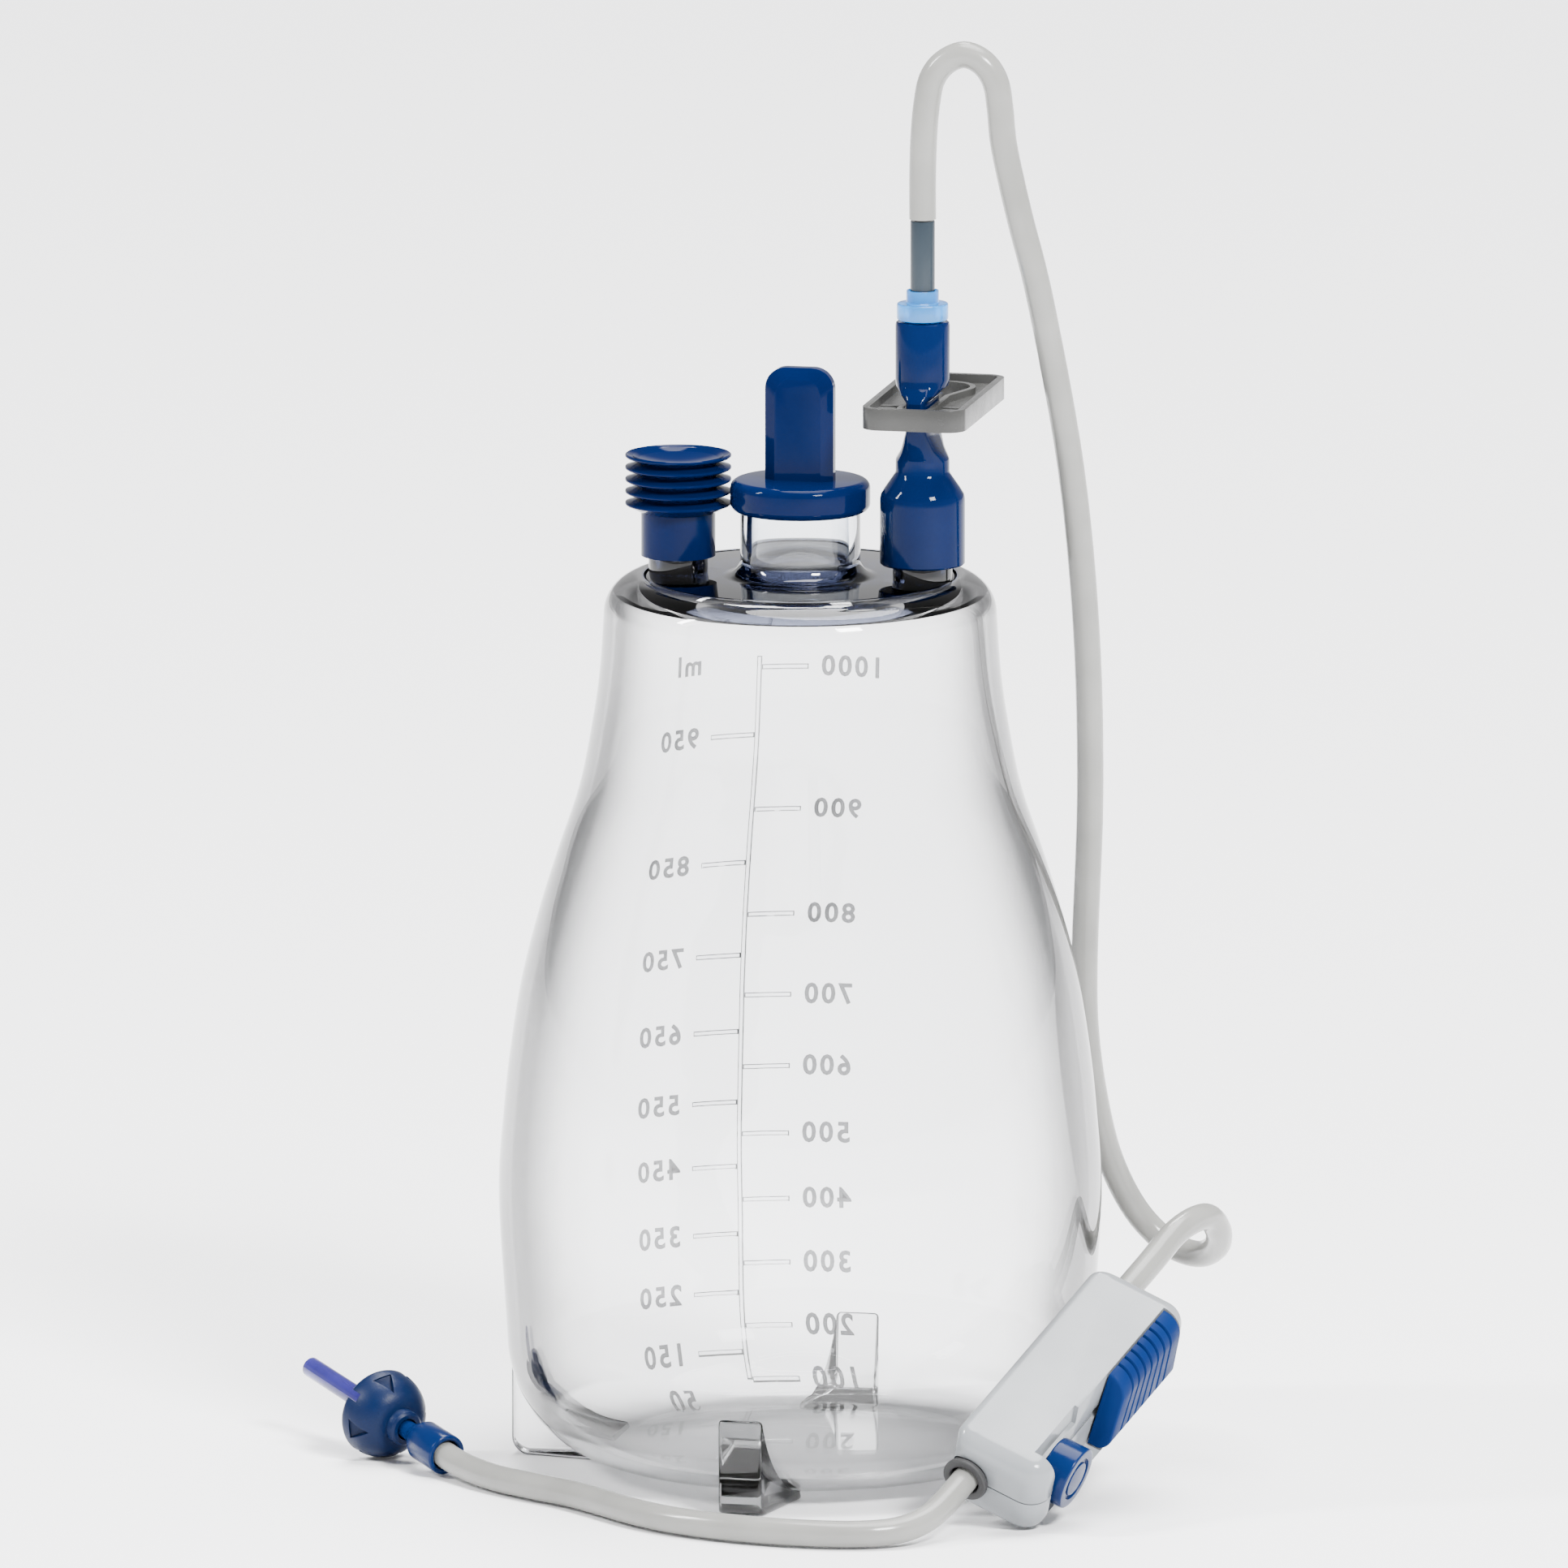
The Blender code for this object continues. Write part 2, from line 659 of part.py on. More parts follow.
def keyhole(grow=0.0):
    """The keyhole's plan outline about the sleeve's axis: a narrow slot that opens into a round hole."""
    slot = WAIST_HALF_WIDTH + TOUCH_GAP + grow
    radius = KEYHOLE_RADIUS + grow
    front = WAIST_HALF_DEPTH + TOUCH_GAP - WAIST_HALF_WIDTH / 2
    nose = arc((0, -front), slot, 180, 360, 6)
    lead = math.degrees(math.asin((radius - slot) / KEYHOLE_OFFSET))
    hole = arc((0, KEYHOLE_OFFSET), radius, -lead - 12, 180 + lead + 12, 14)
    return [*nose, (slot, KEYHOLE_TAPER_START), *hole, (-slot, KEYHOLE_TAPER_START)]


def rounded_plan(low, high, corner, steps=3):
    outline = []
    for x, y, start in (
        (high[0] - corner, low[1] + corner, -90),
        (high[0] - corner, high[1] - corner, 0),
        (low[0] + corner, high[1] - corner, 90),
        (low[0] + corner, low[1] + corner, 180),
    ):
        outline += arc((x, y), corner, start, start + 90, steps)
    return outline


def make_slide_clamp(grey):
    """Its origin is on the sleeve's axis, and it slides towards -Y to bring the round hole to the sleeve."""
    half = PLATE_CLAMP_WIDTH / 2
    back = PLATE_CLAMP_LENGTH - PLATE_CLAMP_FRONT
    low, high = (-half, -PLATE_CLAMP_FRONT), (half, back)
    rim = PLATE_CLAMP_RIM
    floor = PLATE_CLAMP_THICKNESS - PLATE_CLAMP_RECESS
    outside = rounded_plan(low, high, PLATE_CLAMP_CORNER)
    inside = rounded_plan(
        (low[0] + rim, low[1] + rim), (high[0] - rim, high[1] - rim), PLATE_CLAMP_CORNER / 2
    )
    clamp = prism("slide_clamp", outside, 0, PLATE_CLAMP_THICKNESS, grey)
    cut(clamp, prism("slide_clamp_recess", inside, floor, PLATE_CLAMP_THICKNESS + rim))
    raised = prism("keyhole_rim_shape", keyhole(KEYHOLE_RIM), floor / 2, PLATE_CLAMP_THICKNESS - TOUCH_GAP)
    join(clamp, raised)
    for side in (-1, 1):
        for bar in range(GRIP_BARS):
            start = -PLATE_CLAMP_FRONT + rim * 2 + bar * GRIP_BAR_PITCH
            near = WAIST_HALF_WIDTH + KEYHOLE_RIM * 1.9
            far = half - rim * 1.7
            x = sorted((side * near, side * far))
            rib = block(
                f"grip_bar_{side}_{bar}",
                (x[0], start, floor / 2),
                (x[1], start + GRIP_BAR_WIDTH, floor + GRIP_BAR_HEIGHT),
            )
            join(clamp, rib)
            carry(clamp, rib)
    hole = prism("keyhole_cut", keyhole(), -rim, PLATE_CLAMP_THICKNESS + rim)
    cut(clamp, hole)
    carry(clamp, raised, hole, bpy.data.objects["slide_clamp_recess"])
    clamp.location = (PORT_OFFSET, 0, WAIST_BOTTOM + (WAIST_LENGTH - PLATE_CLAMP_THICKNESS) / 2)
    return clamp


# Collar and insert

COLLAR_TOP = COLLAR_SEAT + COLLAR_FLANGE_HEIGHT + COLLAR_NECK_HEIGHT
INSERT_TOP = COLLAR_TOP + INSERT_SHOWN
INSERT_SOCKET = INSERT_RADIUS + TOUCH_GAP


def make_collar(pale):
    flange_top = COLLAR_SEAT + COLLAR_FLANGE_HEIGHT
    bore = INSERT_RADIUS - INSERT_WALL
    profile = [
        (bore, COLLAR_SEAT - COLLAR_SPIGOT_LENGTH),
        (COLLAR_SPIGOT_RADIUS, COLLAR_SEAT - COLLAR_SPIGOT_LENGTH),
        (COLLAR_SPIGOT_RADIUS, COLLAR_SEAT),
        (COLLAR_FLANGE_RADIUS, COLLAR_SEAT),
        (COLLAR_FLANGE_RADIUS, flange_top - TOUCH_GAP),
        (COLLAR_FLANGE_RADIUS - TOUCH_GAP, flange_top),
        (COLLAR_NECK_RADIUS, flange_top),
        (COLLAR_NECK_RADIUS, COLLAR_TOP),
        (INSERT_SOCKET, COLLAR_TOP),
        (INSERT_SOCKET, COLLAR_SEAT),
        (bore, COLLAR_SEAT),
    ]
    collar = turned("tube_collar", profile, SMALL_FACETS + 4, pale)
    collar.location.x = PORT_OFFSET
    return collar


def make_insert(grey):
    bottom = COLLAR_SEAT + TOUCH_GAP
    bore = INSERT_RADIUS - INSERT_WALL
    profile = [(bore, bottom), (INSERT_RADIUS, bottom), (INSERT_RADIUS, INSERT_TOP), (bore, INSERT_TOP)]
    insert = turned("tube_insert", profile, SMALL_FACETS, grey)
    insert.location.x = PORT_OFFSET
    return insert


# Flow clamp's frame and the connector's frame


def clamp_matrix():
    heading = Matrix.Rotation(CLAMP_HEADING, 4, "Z")
    pitch = Matrix.Rotation(CLAMP_PITCH, 4, "Y")
    roll = Matrix.Rotation(-CLAMP_ROLL, 4, "X")
    return Matrix.Translation(CLAMP_CENTRE) @ heading @ pitch @ roll


def connector_matrix():
    """The connector lies on its hub's end and its dome's rim, so its axis tips up towards the tip."""
    tilt = math.atan((DOME_RADIUS - HUB_RADIUS) / (DOME_START + DOME_DEPTH))
    height = HUB_RADIUS / math.cos(tilt) + TOUCH_GAP
    place = Matrix.Translation((HUB_END.x, HUB_END.y, height))
    return place @ Matrix.Rotation(HUB_HEADING, 4, "Z") @ Matrix.Rotation(math.pi / 2 - tilt, 4, "Y")


# Drainage tube


def tube_route():
    """The tube's own points, one after another from the insert to the hub."""
    clamp = clamp_matrix()
    hub = connector_matrix()
    start = Vector((PORT_OFFSET, 0, INSERT_TOP + TOUCH_GAP))
    rise = [start, start + Vector((0, 0, 0.0080))]
    arch = [
        Vector(p)
        for p in (
            (0.0224, 0.0001, 0.2410),
            (0.0229, 0.0002, 0.2466),
            (0.0238, 0.0003, 0.2510),
            (0.0261, 0.0004, 0.2541),
            (0.0296, 0.0005, 0.2556),
            (0.0330, 0.0006, 0.2542),
            (0.0352, 0.0008, 0.2509),
            (0.0360, 0.0010, 0.2462),
            (0.0366, 0.0011, 0.2400),
            (0.0380, 0.0013, 0.2330),
            (0.0396, 0.0016, 0.2260),
            (0.0431, 0.0030, 0.2107),
            (0.0476, 0.0075, 0.1806),
            (0.0493, 0.0130, 0.1504),
            (0.0488, 0.0190, 0.1198),
            (0.0464, 0.0260, 0.0893),
            (0.0458, 0.0302, 0.0742),
            (0.0467, 0.0345, 0.0608),
            (0.0486, 0.0384, 0.0497),
            (0.0526, 0.0414, 0.0402),
            (0.0584, 0.0418, 0.0343),
            (0.0645, 0.0388, 0.0330),
            (0.0691, 0.0326, 0.0358),
            (0.0711, 0.0244, 0.0405),
            (0.0703, 0.0166, 0.0443),
        )
    ]
    lane = [-0.0490, -0.0390, -CLAMP_LENGTH / 2, 0.0, CLAMP_LENGTH / 2, 0.0335]
    through = [clamp @ Vector((x, -TUBE_LANE, 0)) for x in lane]
    floor = TUBE_RADIUS + TOUCH_GAP
    ground = [
        Vector(p)
        for p in (
            (0.0371, -0.0666, 0.0043),
            (0.0329, -0.0717, 0.0030),
            (0.0265, -0.0749, floor),
            (0.0182, -0.0760, floor),
            (0.0088, -0.0752, floor),
            (-0.0005, -0.0728, floor),
            (-0.0094, -0.0688, floor),
            (-0.0172, -0.0631, floor),
            (-0.0243, -0.0562, floor),
            (-0.0316, -0.0497, floor),
            (-0.0397, -0.0444, floor),
            (-0.0478, -0.0382, floor),
        )
    ]
    arrive = [hub @ Vector((0, 0, z)) for z in (-0.0045, HUB_SOCKET_DEPTH - TOUCH_GAP)]
    return [*rise, *arch, *through, *ground, *arrive]


def make_tube(pale):
    path = smooth_through(tube_route(), TUBE_STEPS)
    curve = bpy.data.curves.new("drain_tube", "CURVE")
    curve.dimensions = "3D"
    curve.bevel_depth = TUBE_RADIUS
    curve.bevel_resolution = 2
    curve.use_fill_caps = True
    spline = curve.splines.new("POLY")
    spline.points.add(len(path) - 1)
    for point, place in zip(spline.points, path):
        point.co = (*place, 1)
    curve.materials.append(pale)
    tube = bpy.data.objects.new("drain_tube", curve)
    bpy.context.scene.collection.objects.link(tube)
    return tube


# Flow clamp's shells

CLAMP_SIDE = CLAMP_WIDTH / 2
WINDOW_FLOOR = CLAMP_SIDE - WINDOW_DEPTH
CAVITY_SIDE = WINDOW_FLOOR - INNER_WALL
TUBE_BORE = TUBE_RADIUS + BORE_GAP
BUSH_RADIUS = TUBE_BORE + BUSH_WALL
BUSH_HOLE = BUSH_RADIUS + TOUCH_GAP
WHEEL_AXIS = WINDOW_FRONT - WHEEL_RADIUS - SLIDE_GAP
SLIDER_BACK = WINDOW_BACK + SLIDE_GAP
SLIDER_NECK_BACK = SLIDER_BACK + SLIDER_NECK_INSET
SLIDER_NECK_FRONT = SLIDER_NECK_BACK + SLIDER_NECK_LENGTH


def along_x(name, radius, low, high, y):
    """A round cutter along X."""
    drill = turned(name, [(0, low), (radius, low), (radius, high), (0, high)], SMALL_FACETS, None)
    drill.rotation_euler.y = math.pi / 2
    drill.location.y = y
    return drill


def along_y(name, radius, low, high, x):
    """A round cutter along Y."""
    drill = turned(name, [(0, low), (radius, low), (radius, high), (0, high)], SMALL_FACETS, None)
    drill.rotation_euler.x = -math.pi / 2
    drill.location.x = x
    return drill


def shell_rings(side):
    """A shell's outlines from the seam to the broad face, with a sharper edge along the tube's side."""
    half = CLAMP_LENGTH / 2
    plan = rounded_plan((-half, -CLAMP_SIDE), (half, CLAMP_SIDE), CLAMP_CORNER, 4)
    rings = [[(x, y, side * TOUCH_GAP / 2) for x, y in plan]]
    for angle in (0, 30, 60, 90):
        turn = math.radians(angle)
        ring = []
        for i, (x, y) in enumerate(plan):
            before = plan[i - 1]
            after = plan[(i + 1) % len(plan)]
            outward = Vector((after[1] - before[1], before[0] - after[0])).normalized()
            sharp = max(0.0, -outward.y) ** 2
            edge = CLAMP_EDGE + (CLAMP_BACK_EDGE - CLAMP_EDGE) * sharp
            shrink = edge * (1 - math.cos(turn))
            height = CLAMP_HALF_HEIGHT - edge * (1 - math.sin(turn))
            ring.append((x - outward.x * shrink, y - outward.y * shrink, side * height))
        rings.append(ring)
    return rings


def make_shell(name, side, white):
    """One half of the housing: side is 1 for the upper shell and -1 for the lower one."""
    half_length = CLAMP_LENGTH / 2
    shell = lofted(name, shell_rings(side), white)
    reach = 2 * CLAMP_SIDE
    ceiling = CLAMP_HALF_HEIGHT - CLAMP_WALL
    label = f"{name}_"
    cavity = sorted((-side * CLAMP_WALL, side * ceiling))
    window = sorted((-side * CLAMP_WALL, side * (reach if side > 0 else WINDOW_SILL)))
    slit = sorted((-side * CLAMP_WALL, side * SLIT_HALF_HEIGHT))
    tools = [
        block(
            label + "cavity",
            (-half_length + CLAMP_WALL, -CLAMP_SIDE + CLAMP_WALL, cavity[0]),
            (half_length - CLAMP_WALL, CAVITY_SIDE, cavity[1]),
        ),
        block(label + "window", (WINDOW_BACK, WINDOW_FLOOR, window[0]), (WINDOW_FRONT, reach, window[1])),
        block(
            label + "slit",
            (SLIDER_NECK_BACK - SLIDE_GAP, CAVITY_SIDE - CLAMP_WALL, slit[0]),
            (SLIDER_NECK_FRONT + SLIDER_TRAVEL + SLIDE_GAP, WINDOW_FLOOR + CLAMP_WALL, slit[1]),
        ),
        along_x(label + "back_bore", TUBE_BORE, -reach - half_length, 0, -TUBE_LANE),
        along_x(label + "front_bore", BUSH_HOLE, 0, reach + half_length, -TUBE_LANE),
        along_y(
            label + "pin_hole", PIN_RADIUS + TOUCH_GAP, CAVITY_SIDE - CLAMP_WALL, reach, WHEEL_AXIS
        ),
    ]
    if side > 0:
        step = (WINDOW_STEP, WINDOW_FLOOR - WINDOW_STEP_DEPTH, 3 * SLIT_HALF_HEIGHT)
        tools.append(block(label + "window_step", step, (WINDOW_FRONT, reach, reach)))
    for tool in tools:
        cut(shell, tool)
        carry(shell, tool)
    return shell


def make_bush(dark):
    """A ring in the front wall that the tube runs out of, with a flange outside."""
    inside = CLAMP_LENGTH / 2 - CLAMP_WALL
    face = CLAMP_LENGTH / 2 + TOUCH_GAP
    flange = BUSH_RADIUS + BUSH_FLANGE
    end = face + BUSH_FLANGE_LENGTH
    profile = [
        (TUBE_BORE, inside),
        (BUSH_RADIUS, inside),
        (BUSH_RADIUS, face),
        (flange, face),
        (flange, end - TOUCH_GAP),
        (flange - TOUCH_GAP, end),
        (TUBE_BORE, end),
    ]
    bush = turned("front_bush", profile, SMALL_FACETS, dark)
    bush.rotation_euler.y = math.pi / 2
    bush.location.y = -TUBE_LANE
    return bush


def slider_outline(draw_in=0.0):
    """The thumb slider's section from its top inner edge round the thumb side to its lower inner edge."""
    inner = WINDOW_FLOOR + SLIDE_GAP
    side = CLAMP_SIDE + SLIDER_BULGE - draw_in
    top = CLAMP_HALF_HEIGHT - draw_in
    edge = side - inner
    sill = -WINDOW_SILL + SLIDE_GAP
    upper = arc((inner, top - edge), edge, 90, 0, 5)
    lower_edge = edge * 0.55
    lower = arc((side - lower_edge, sill + lower_edge), lower_edge, 0, -90, 3)
    return [*upper, *lower, (inner, sill)]


def make_slider(blue):
    """The slider's thumb pad with its grooves, and the neck and foot that reach the tube."""
    stations = [(0.0, 0.0)]
    for groove in range(GROOVE_COUNT):
        start = GROOVE_START + groove * GROOVE_PITCH
        stations += [
            (start, 0.0),
            (start + GROOVE_WIDTH * 0.3, GROOVE_DEPTH),
            (start + GROOVE_WIDTH * 0.7, GROOVE_DEPTH),
            (start + GROOVE_WIDTH, 0.0),
        ]
    stations.append((SLIDER_LENGTH, 0.0))
    span = CLAMP_HALF_HEIGHT + WINDOW_SILL
    rings = []
    for along, draw_in in stations:
        ring = []
        for y, z in slider_outline(draw_in):
            lean = SLIDER_LEAN * (CLAMP_HALF_HEIGHT - z) / span * (along / SLIDER_LENGTH)
            ring.append((along + lean, y, z))
        rings.append(ring)
    slider = lofted("thumb_slider", rings, blue)
    neck_half = SLIT_HALF_HEIGHT - SLIDE_GAP
    foot_face = -TUBE_LANE + TUBE_RADIUS + SLIDE_GAP
    foot_back = CAVITY_SIDE - SLIDE_GAP
    back = SLIDER_NECK_INSET
    neck = block(
        "slider_neck_shape",
        (back, foot_face + INNER_WALL, -neck_half),
        (back + SLIDER_NECK_LENGTH, WINDOW_FLOOR + INNER_WALL, neck_half),
    )
    foot = block(
        "slider_foot_shape",
        (back, foot_face, -SLIDER_FOOT_HALF_HEIGHT),
        (back + SLIDER_NECK_LENGTH, foot_back, SLIDER_FOOT_HALF_HEIGHT),
    )
    for shape in (neck, foot):
        join(slider, shape)
        carry(slider, shape)
    slider.location.x = SLIDER_BACK
    return slider


def make_wheel(blue):
    """The lock wheel, turned about Y, with a plain ring on its outer face and a blind bore for its pin."""
    inner = WINDOW_FLOOR + SLIDE_GAP
    outer = CLAMP_SIDE + WHEEL_PROUD
    bore = PIN_RADIUS + TOUCH_GAP
    bottom = inner + PIN_DEPTH + TOUCH_GAP
    ring_out = WHEEL_RING_RADIUS + WHEEL_RING_WIDTH / 2
    ring_in = WHEEL_RING_RADIUS - WHEEL_RING_WIDTH / 2
    profile = [
        (0, bottom),
        (bore, bottom),
        (bore, inner),
        (WHEEL_RADIUS, inner),
        (WHEEL_RADIUS, outer - WHEEL_EDGE),
        (WHEEL_RADIUS - WHEEL_EDGE * 0.3, outer - WHEEL_EDGE * 0.3),
        (WHEEL_RADIUS - WHEEL_EDGE, outer),
        (ring_out, outer),
        (ring_out, outer - WHEEL_RING_DEPTH),
        (ring_in, outer - WHEEL_RING_DEPTH),
        (ring_in, outer),
        (0, outer),
    ]
    wheel = turned("lock_wheel", profile, PORT_FACETS, blue)
    wheel.rotation_euler.x = -math.pi / 2
    wheel.location.x = WHEEL_AXIS
    return wheel


def make_pin(steel):
    start = CAVITY_SIDE - TOUCH_GAP
    end = WINDOW_FLOOR + SLIDE_GAP + PIN_DEPTH
    profile = [(0, start), (PIN_RADIUS, start), (PIN_RADIUS, end), (0, end)]
    pin = turned("wheel_pin", profile, SMALL_FACETS, steel)
    pin.rotation_euler.x = -math.pi / 2
    pin.location.x = WHEEL_AXIS
    return pin


# Connector

NECK_END = HUB_LENGTH + HUB_CONE + HUB_NECK_LENGTH
BOSS_START = DOME_START + DOME_COLLAR_HEIGHT
BOSS_END = BOSS_START + DOME_BOSS_HEIGHT


def make_hub(blue):
    socket = TUBE_RADIUS + TOUCH_GAP
    edge = HUB_RADIUS - 2 * TOUCH_GAP
    profile = [
        (0, HUB_SOCKET_DEPTH),
        (socket, HUB_SOCKET_DEPTH),
        (socket, 0),
        (edge, 0),
        (HUB_RADIUS, TOUCH_GAP * 2),
        (HUB_RADIUS, HUB_LENGTH),
        (HUB_NECK_RADIUS * 1.1, HUB_LENGTH + HUB_CONE),
        (HUB_NECK_RADIUS, HUB_LENGTH + HUB_CONE * 1.2),
        (HUB_NECK_RADIUS, NECK_END),
        (0, NECK_END),
    ]
    return turned("connector_hub", profile, SMALL_FACETS + 4, blue)


def make_dome(blue):
    """A mushroom grip, hollow towards the tip, with a collar round the hub's neck and a boss for the tip."""
    neck = HUB_NECK_RADIUS + TOUCH_GAP
    tip = TIP_RADIUS + TOUCH_GAP
    stop = NECK_END + TOUCH_GAP
    back = BOSS_START
    rim = DOME_START + DOME_DEPTH
    drop = rim - back
    spread = DOME_RADIUS - DOME_COLLAR_RADIUS
    outside = arc((DOME_COLLAR_RADIUS, rim), spread, -90, 0, 7, drop / spread)
    hollow_floor = back + DOME_WALL
    inner_spread = spread - DOME_WALL
    inside = arc(
        (DOME_COLLAR_RADIUS, rim + TOUCH_GAP), inner_spread, 0, -90, 5, (rim - hollow_floor) / inner_spread
    )
    profile = [
        (neck, stop),
        (neck, DOME_START),
        (DOME_COLLAR_RADIUS - DOME_COLLAR_WALL / 2, DOME_START),
        (DOME_COLLAR_RADIUS, DOME_START + DOME_COLLAR_WALL / 2),
        *outside,
        (DOME_RADIUS - TOUCH_GAP, rim + 2 * TOUCH_GAP),
        (DOME_RADIUS - DOME_WALL, rim + 2 * TOUCH_GAP),
        *inside,
        (DOME_BOSS_RADIUS, hollow_floor),
        (DOME_BOSS_RADIUS, BOSS_END),
        (tip, BOSS_END),
        (tip, stop),
    ]
    dome = turned("connector_dome", profile, PORT_FACETS, blue)
    size = DOME_HOLLOW_SIZE
    for number in range(DOME_HOLLOWS):
        turn = 2 * math.pi * (number + 0.5) / DOME_HOLLOWS + DOME_TURN
        plan = [(0.62 * size, 0.5 * size), (-0.45 * size, 0.0), (0.62 * size, -0.5 * size)]
        pocket = prism(f"dome_pocket_{number}", plan, -size, DOME_HOLLOW_DEPTH)
        slope = math.radians(52.0)
        reach = DOME_COLLAR_RADIUS + spread * math.sin(slope)
        depth = rim - drop * math.cos(slope)
        pocket.matrix_world = (
            Matrix.Rotation(turn, 4, "Z")
            @ Matrix.Translation((reach, 0, depth))
            @ Matrix.Rotation(-slope, 4, "Y")
        )
        cut(dome, pocket)
        carry(dome, pocket)
    for number in range(DOME_NOTCHES):
        half = DOME_NOTCH_WIDTH / 2
        notch = block(
            f"dome_notch_{number}",
            (DOME_RADIUS - 2 * DOME_WALL, -half, rim - DOME_NOTCH_DEPTH),
            (DOME_RADIUS + DOME_WALL, half, rim + DOME_WALL),
        )
        notch.rotation_euler.z = 2 * math.pi * number / DOME_NOTCHES + DOME_TURN
        cut(dome, notch)
        carry(dome, notch)
    return dome


TIP_START = NECK_END + 2 * TOUCH_GAP
SHEATH_START = BOSS_END + TOUCH_GAP


def make_tip(clear):
    end = TIP_START + TIP_LENGTH
    profile = [
        (0, TIP_START),
        (TIP_RADIUS, TIP_START),
        (TIP_RADIUS, end - TIP_RADIUS),
        (TIP_RADIUS * 0.7, end - TIP_RADIUS * 0.3),
        (0, end),
    ]
    return turned("access_tip", profile, SMALL_FACETS, clear)


def make_sheath(purple):
    """The sheath's origin is at its open end, on the connector's axis, along which it pulls off."""
    bore = SHEATH_RADIUS - SHEATH_WALL
    profile = [
        (0, SHEATH_LENGTH - SHEATH_WALL),
        (bore, SHEATH_LENGTH - SHEATH_WALL),
        (bore, 0),
        (SHEATH_RADIUS, 0),
        (SHEATH_RADIUS, SHEATH_LENGTH - SHEATH_WALL / 2),
        (SHEATH_RADIUS - SHEATH_WALL / 2, SHEATH_LENGTH),
        (0, SHEATH_LENGTH),
    ]
    sheath = turned("tip_sheath", profile, SMALL_FACETS, purple)
    sheath.location.z = SHEATH_START
    return sheath


def main():
    clear_scene()
    clear = make_material("clear_bottle", (0.93, 0.95, 0.96), 0.02, 1.0)
    blue = make_material("moulded_blue", (0.014, 0.050, 0.215), 0.28)
    rubber = make_material("blue_rubber", (0.012, 0.040, 0.170), 0.42)
    silicone = make_material("sleeve_blue", (0.016, 0.060, 0.240), 0.30)
    pale_blue = make_material("collar_pale_blue", (0.22, 0.52, 0.80), 0.12, 0.8)
    clamp_grey = make_material("clamp_grey", (0.42, 0.42, 0.40), 0.38)
    insert_grey = make_material("insert_grey", (0.13, 0.16, 0.20), 0.20)
    tube_white = make_material("tube_translucent", (0.62, 0.62, 0.58), 0.25, 0.3)
    shell_white = make_material("shell_white", (0.66, 0.68, 0.69), 0.30)
    bush_dark = make_material("bush_dark", (0.08, 0.08, 0.08), 0.50)
    steel = make_material("pin_steel", (0.55, 0.56, 0.58), 0.30)
    purple = make_material("sheath_purple", (0.12, 0.08, 0.55), 0.06, 0.9)
    tip_clear = make_material("tip_white", (0.80, 0.82, 0.85), 0.15, 0.5)

    make_body(clear)
    make_port_plate(clear)
    make_bellows(rubber)
    make_cap(rubber)
    make_sleeve(silicone)
    make_slide_clamp(clamp_grey)
    make_collar(pale_blue)
    make_insert(insert_grey)
    make_tube(tube_white)
    carry(
        frame("flow_clamp_frame", clamp_matrix()),
        make_shell("housing_upper_shell", 1, shell_white),
        make_shell("housing_lower_shell", -1, shell_white),
        make_bush(bush_dark),
        make_slider(blue),
        make_wheel(blue),
        make_pin(steel),
    )
    carry(
        frame("connector_frame", connector_matrix()),
        make_hub(blue),
        make_dome(blue),
        make_tip(tip_clear),
        make_sheath(purple),
    )


main()
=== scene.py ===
"""Looks of the pleural drainage bottle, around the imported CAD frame.

Metres, +Z up, in the row frame. The origin is the middle of the feet, on the surface they stand on.
"""

from math import asin, atan, copysign, cos, degrees, pi, radians, sin

import bmesh
import bpy
from mathutils import Matrix, Vector


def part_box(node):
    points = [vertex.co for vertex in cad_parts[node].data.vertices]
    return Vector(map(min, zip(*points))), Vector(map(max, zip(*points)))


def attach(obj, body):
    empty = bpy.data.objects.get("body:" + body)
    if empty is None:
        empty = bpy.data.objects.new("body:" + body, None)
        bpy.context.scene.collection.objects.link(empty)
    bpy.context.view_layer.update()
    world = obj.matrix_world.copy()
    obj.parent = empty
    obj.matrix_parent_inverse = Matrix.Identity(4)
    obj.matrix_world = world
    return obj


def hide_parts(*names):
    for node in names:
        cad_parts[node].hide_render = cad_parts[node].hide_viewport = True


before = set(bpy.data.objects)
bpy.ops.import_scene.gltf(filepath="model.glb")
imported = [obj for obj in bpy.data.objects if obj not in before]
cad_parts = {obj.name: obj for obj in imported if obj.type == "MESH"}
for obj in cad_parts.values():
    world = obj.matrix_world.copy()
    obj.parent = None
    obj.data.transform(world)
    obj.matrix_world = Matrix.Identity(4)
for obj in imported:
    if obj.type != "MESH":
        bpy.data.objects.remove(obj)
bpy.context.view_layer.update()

# Fits
TOUCH_GAP = 0.0003
SLIDE_GAP = 0.0004
SKIN = 0.00002
FINE_EDGE = 0.00022

# Facets round a full turn
BODY_FACETS = 192
DISC_FACETS = 128
PORT_FACETS = 96
SMALL_FACETS = 64

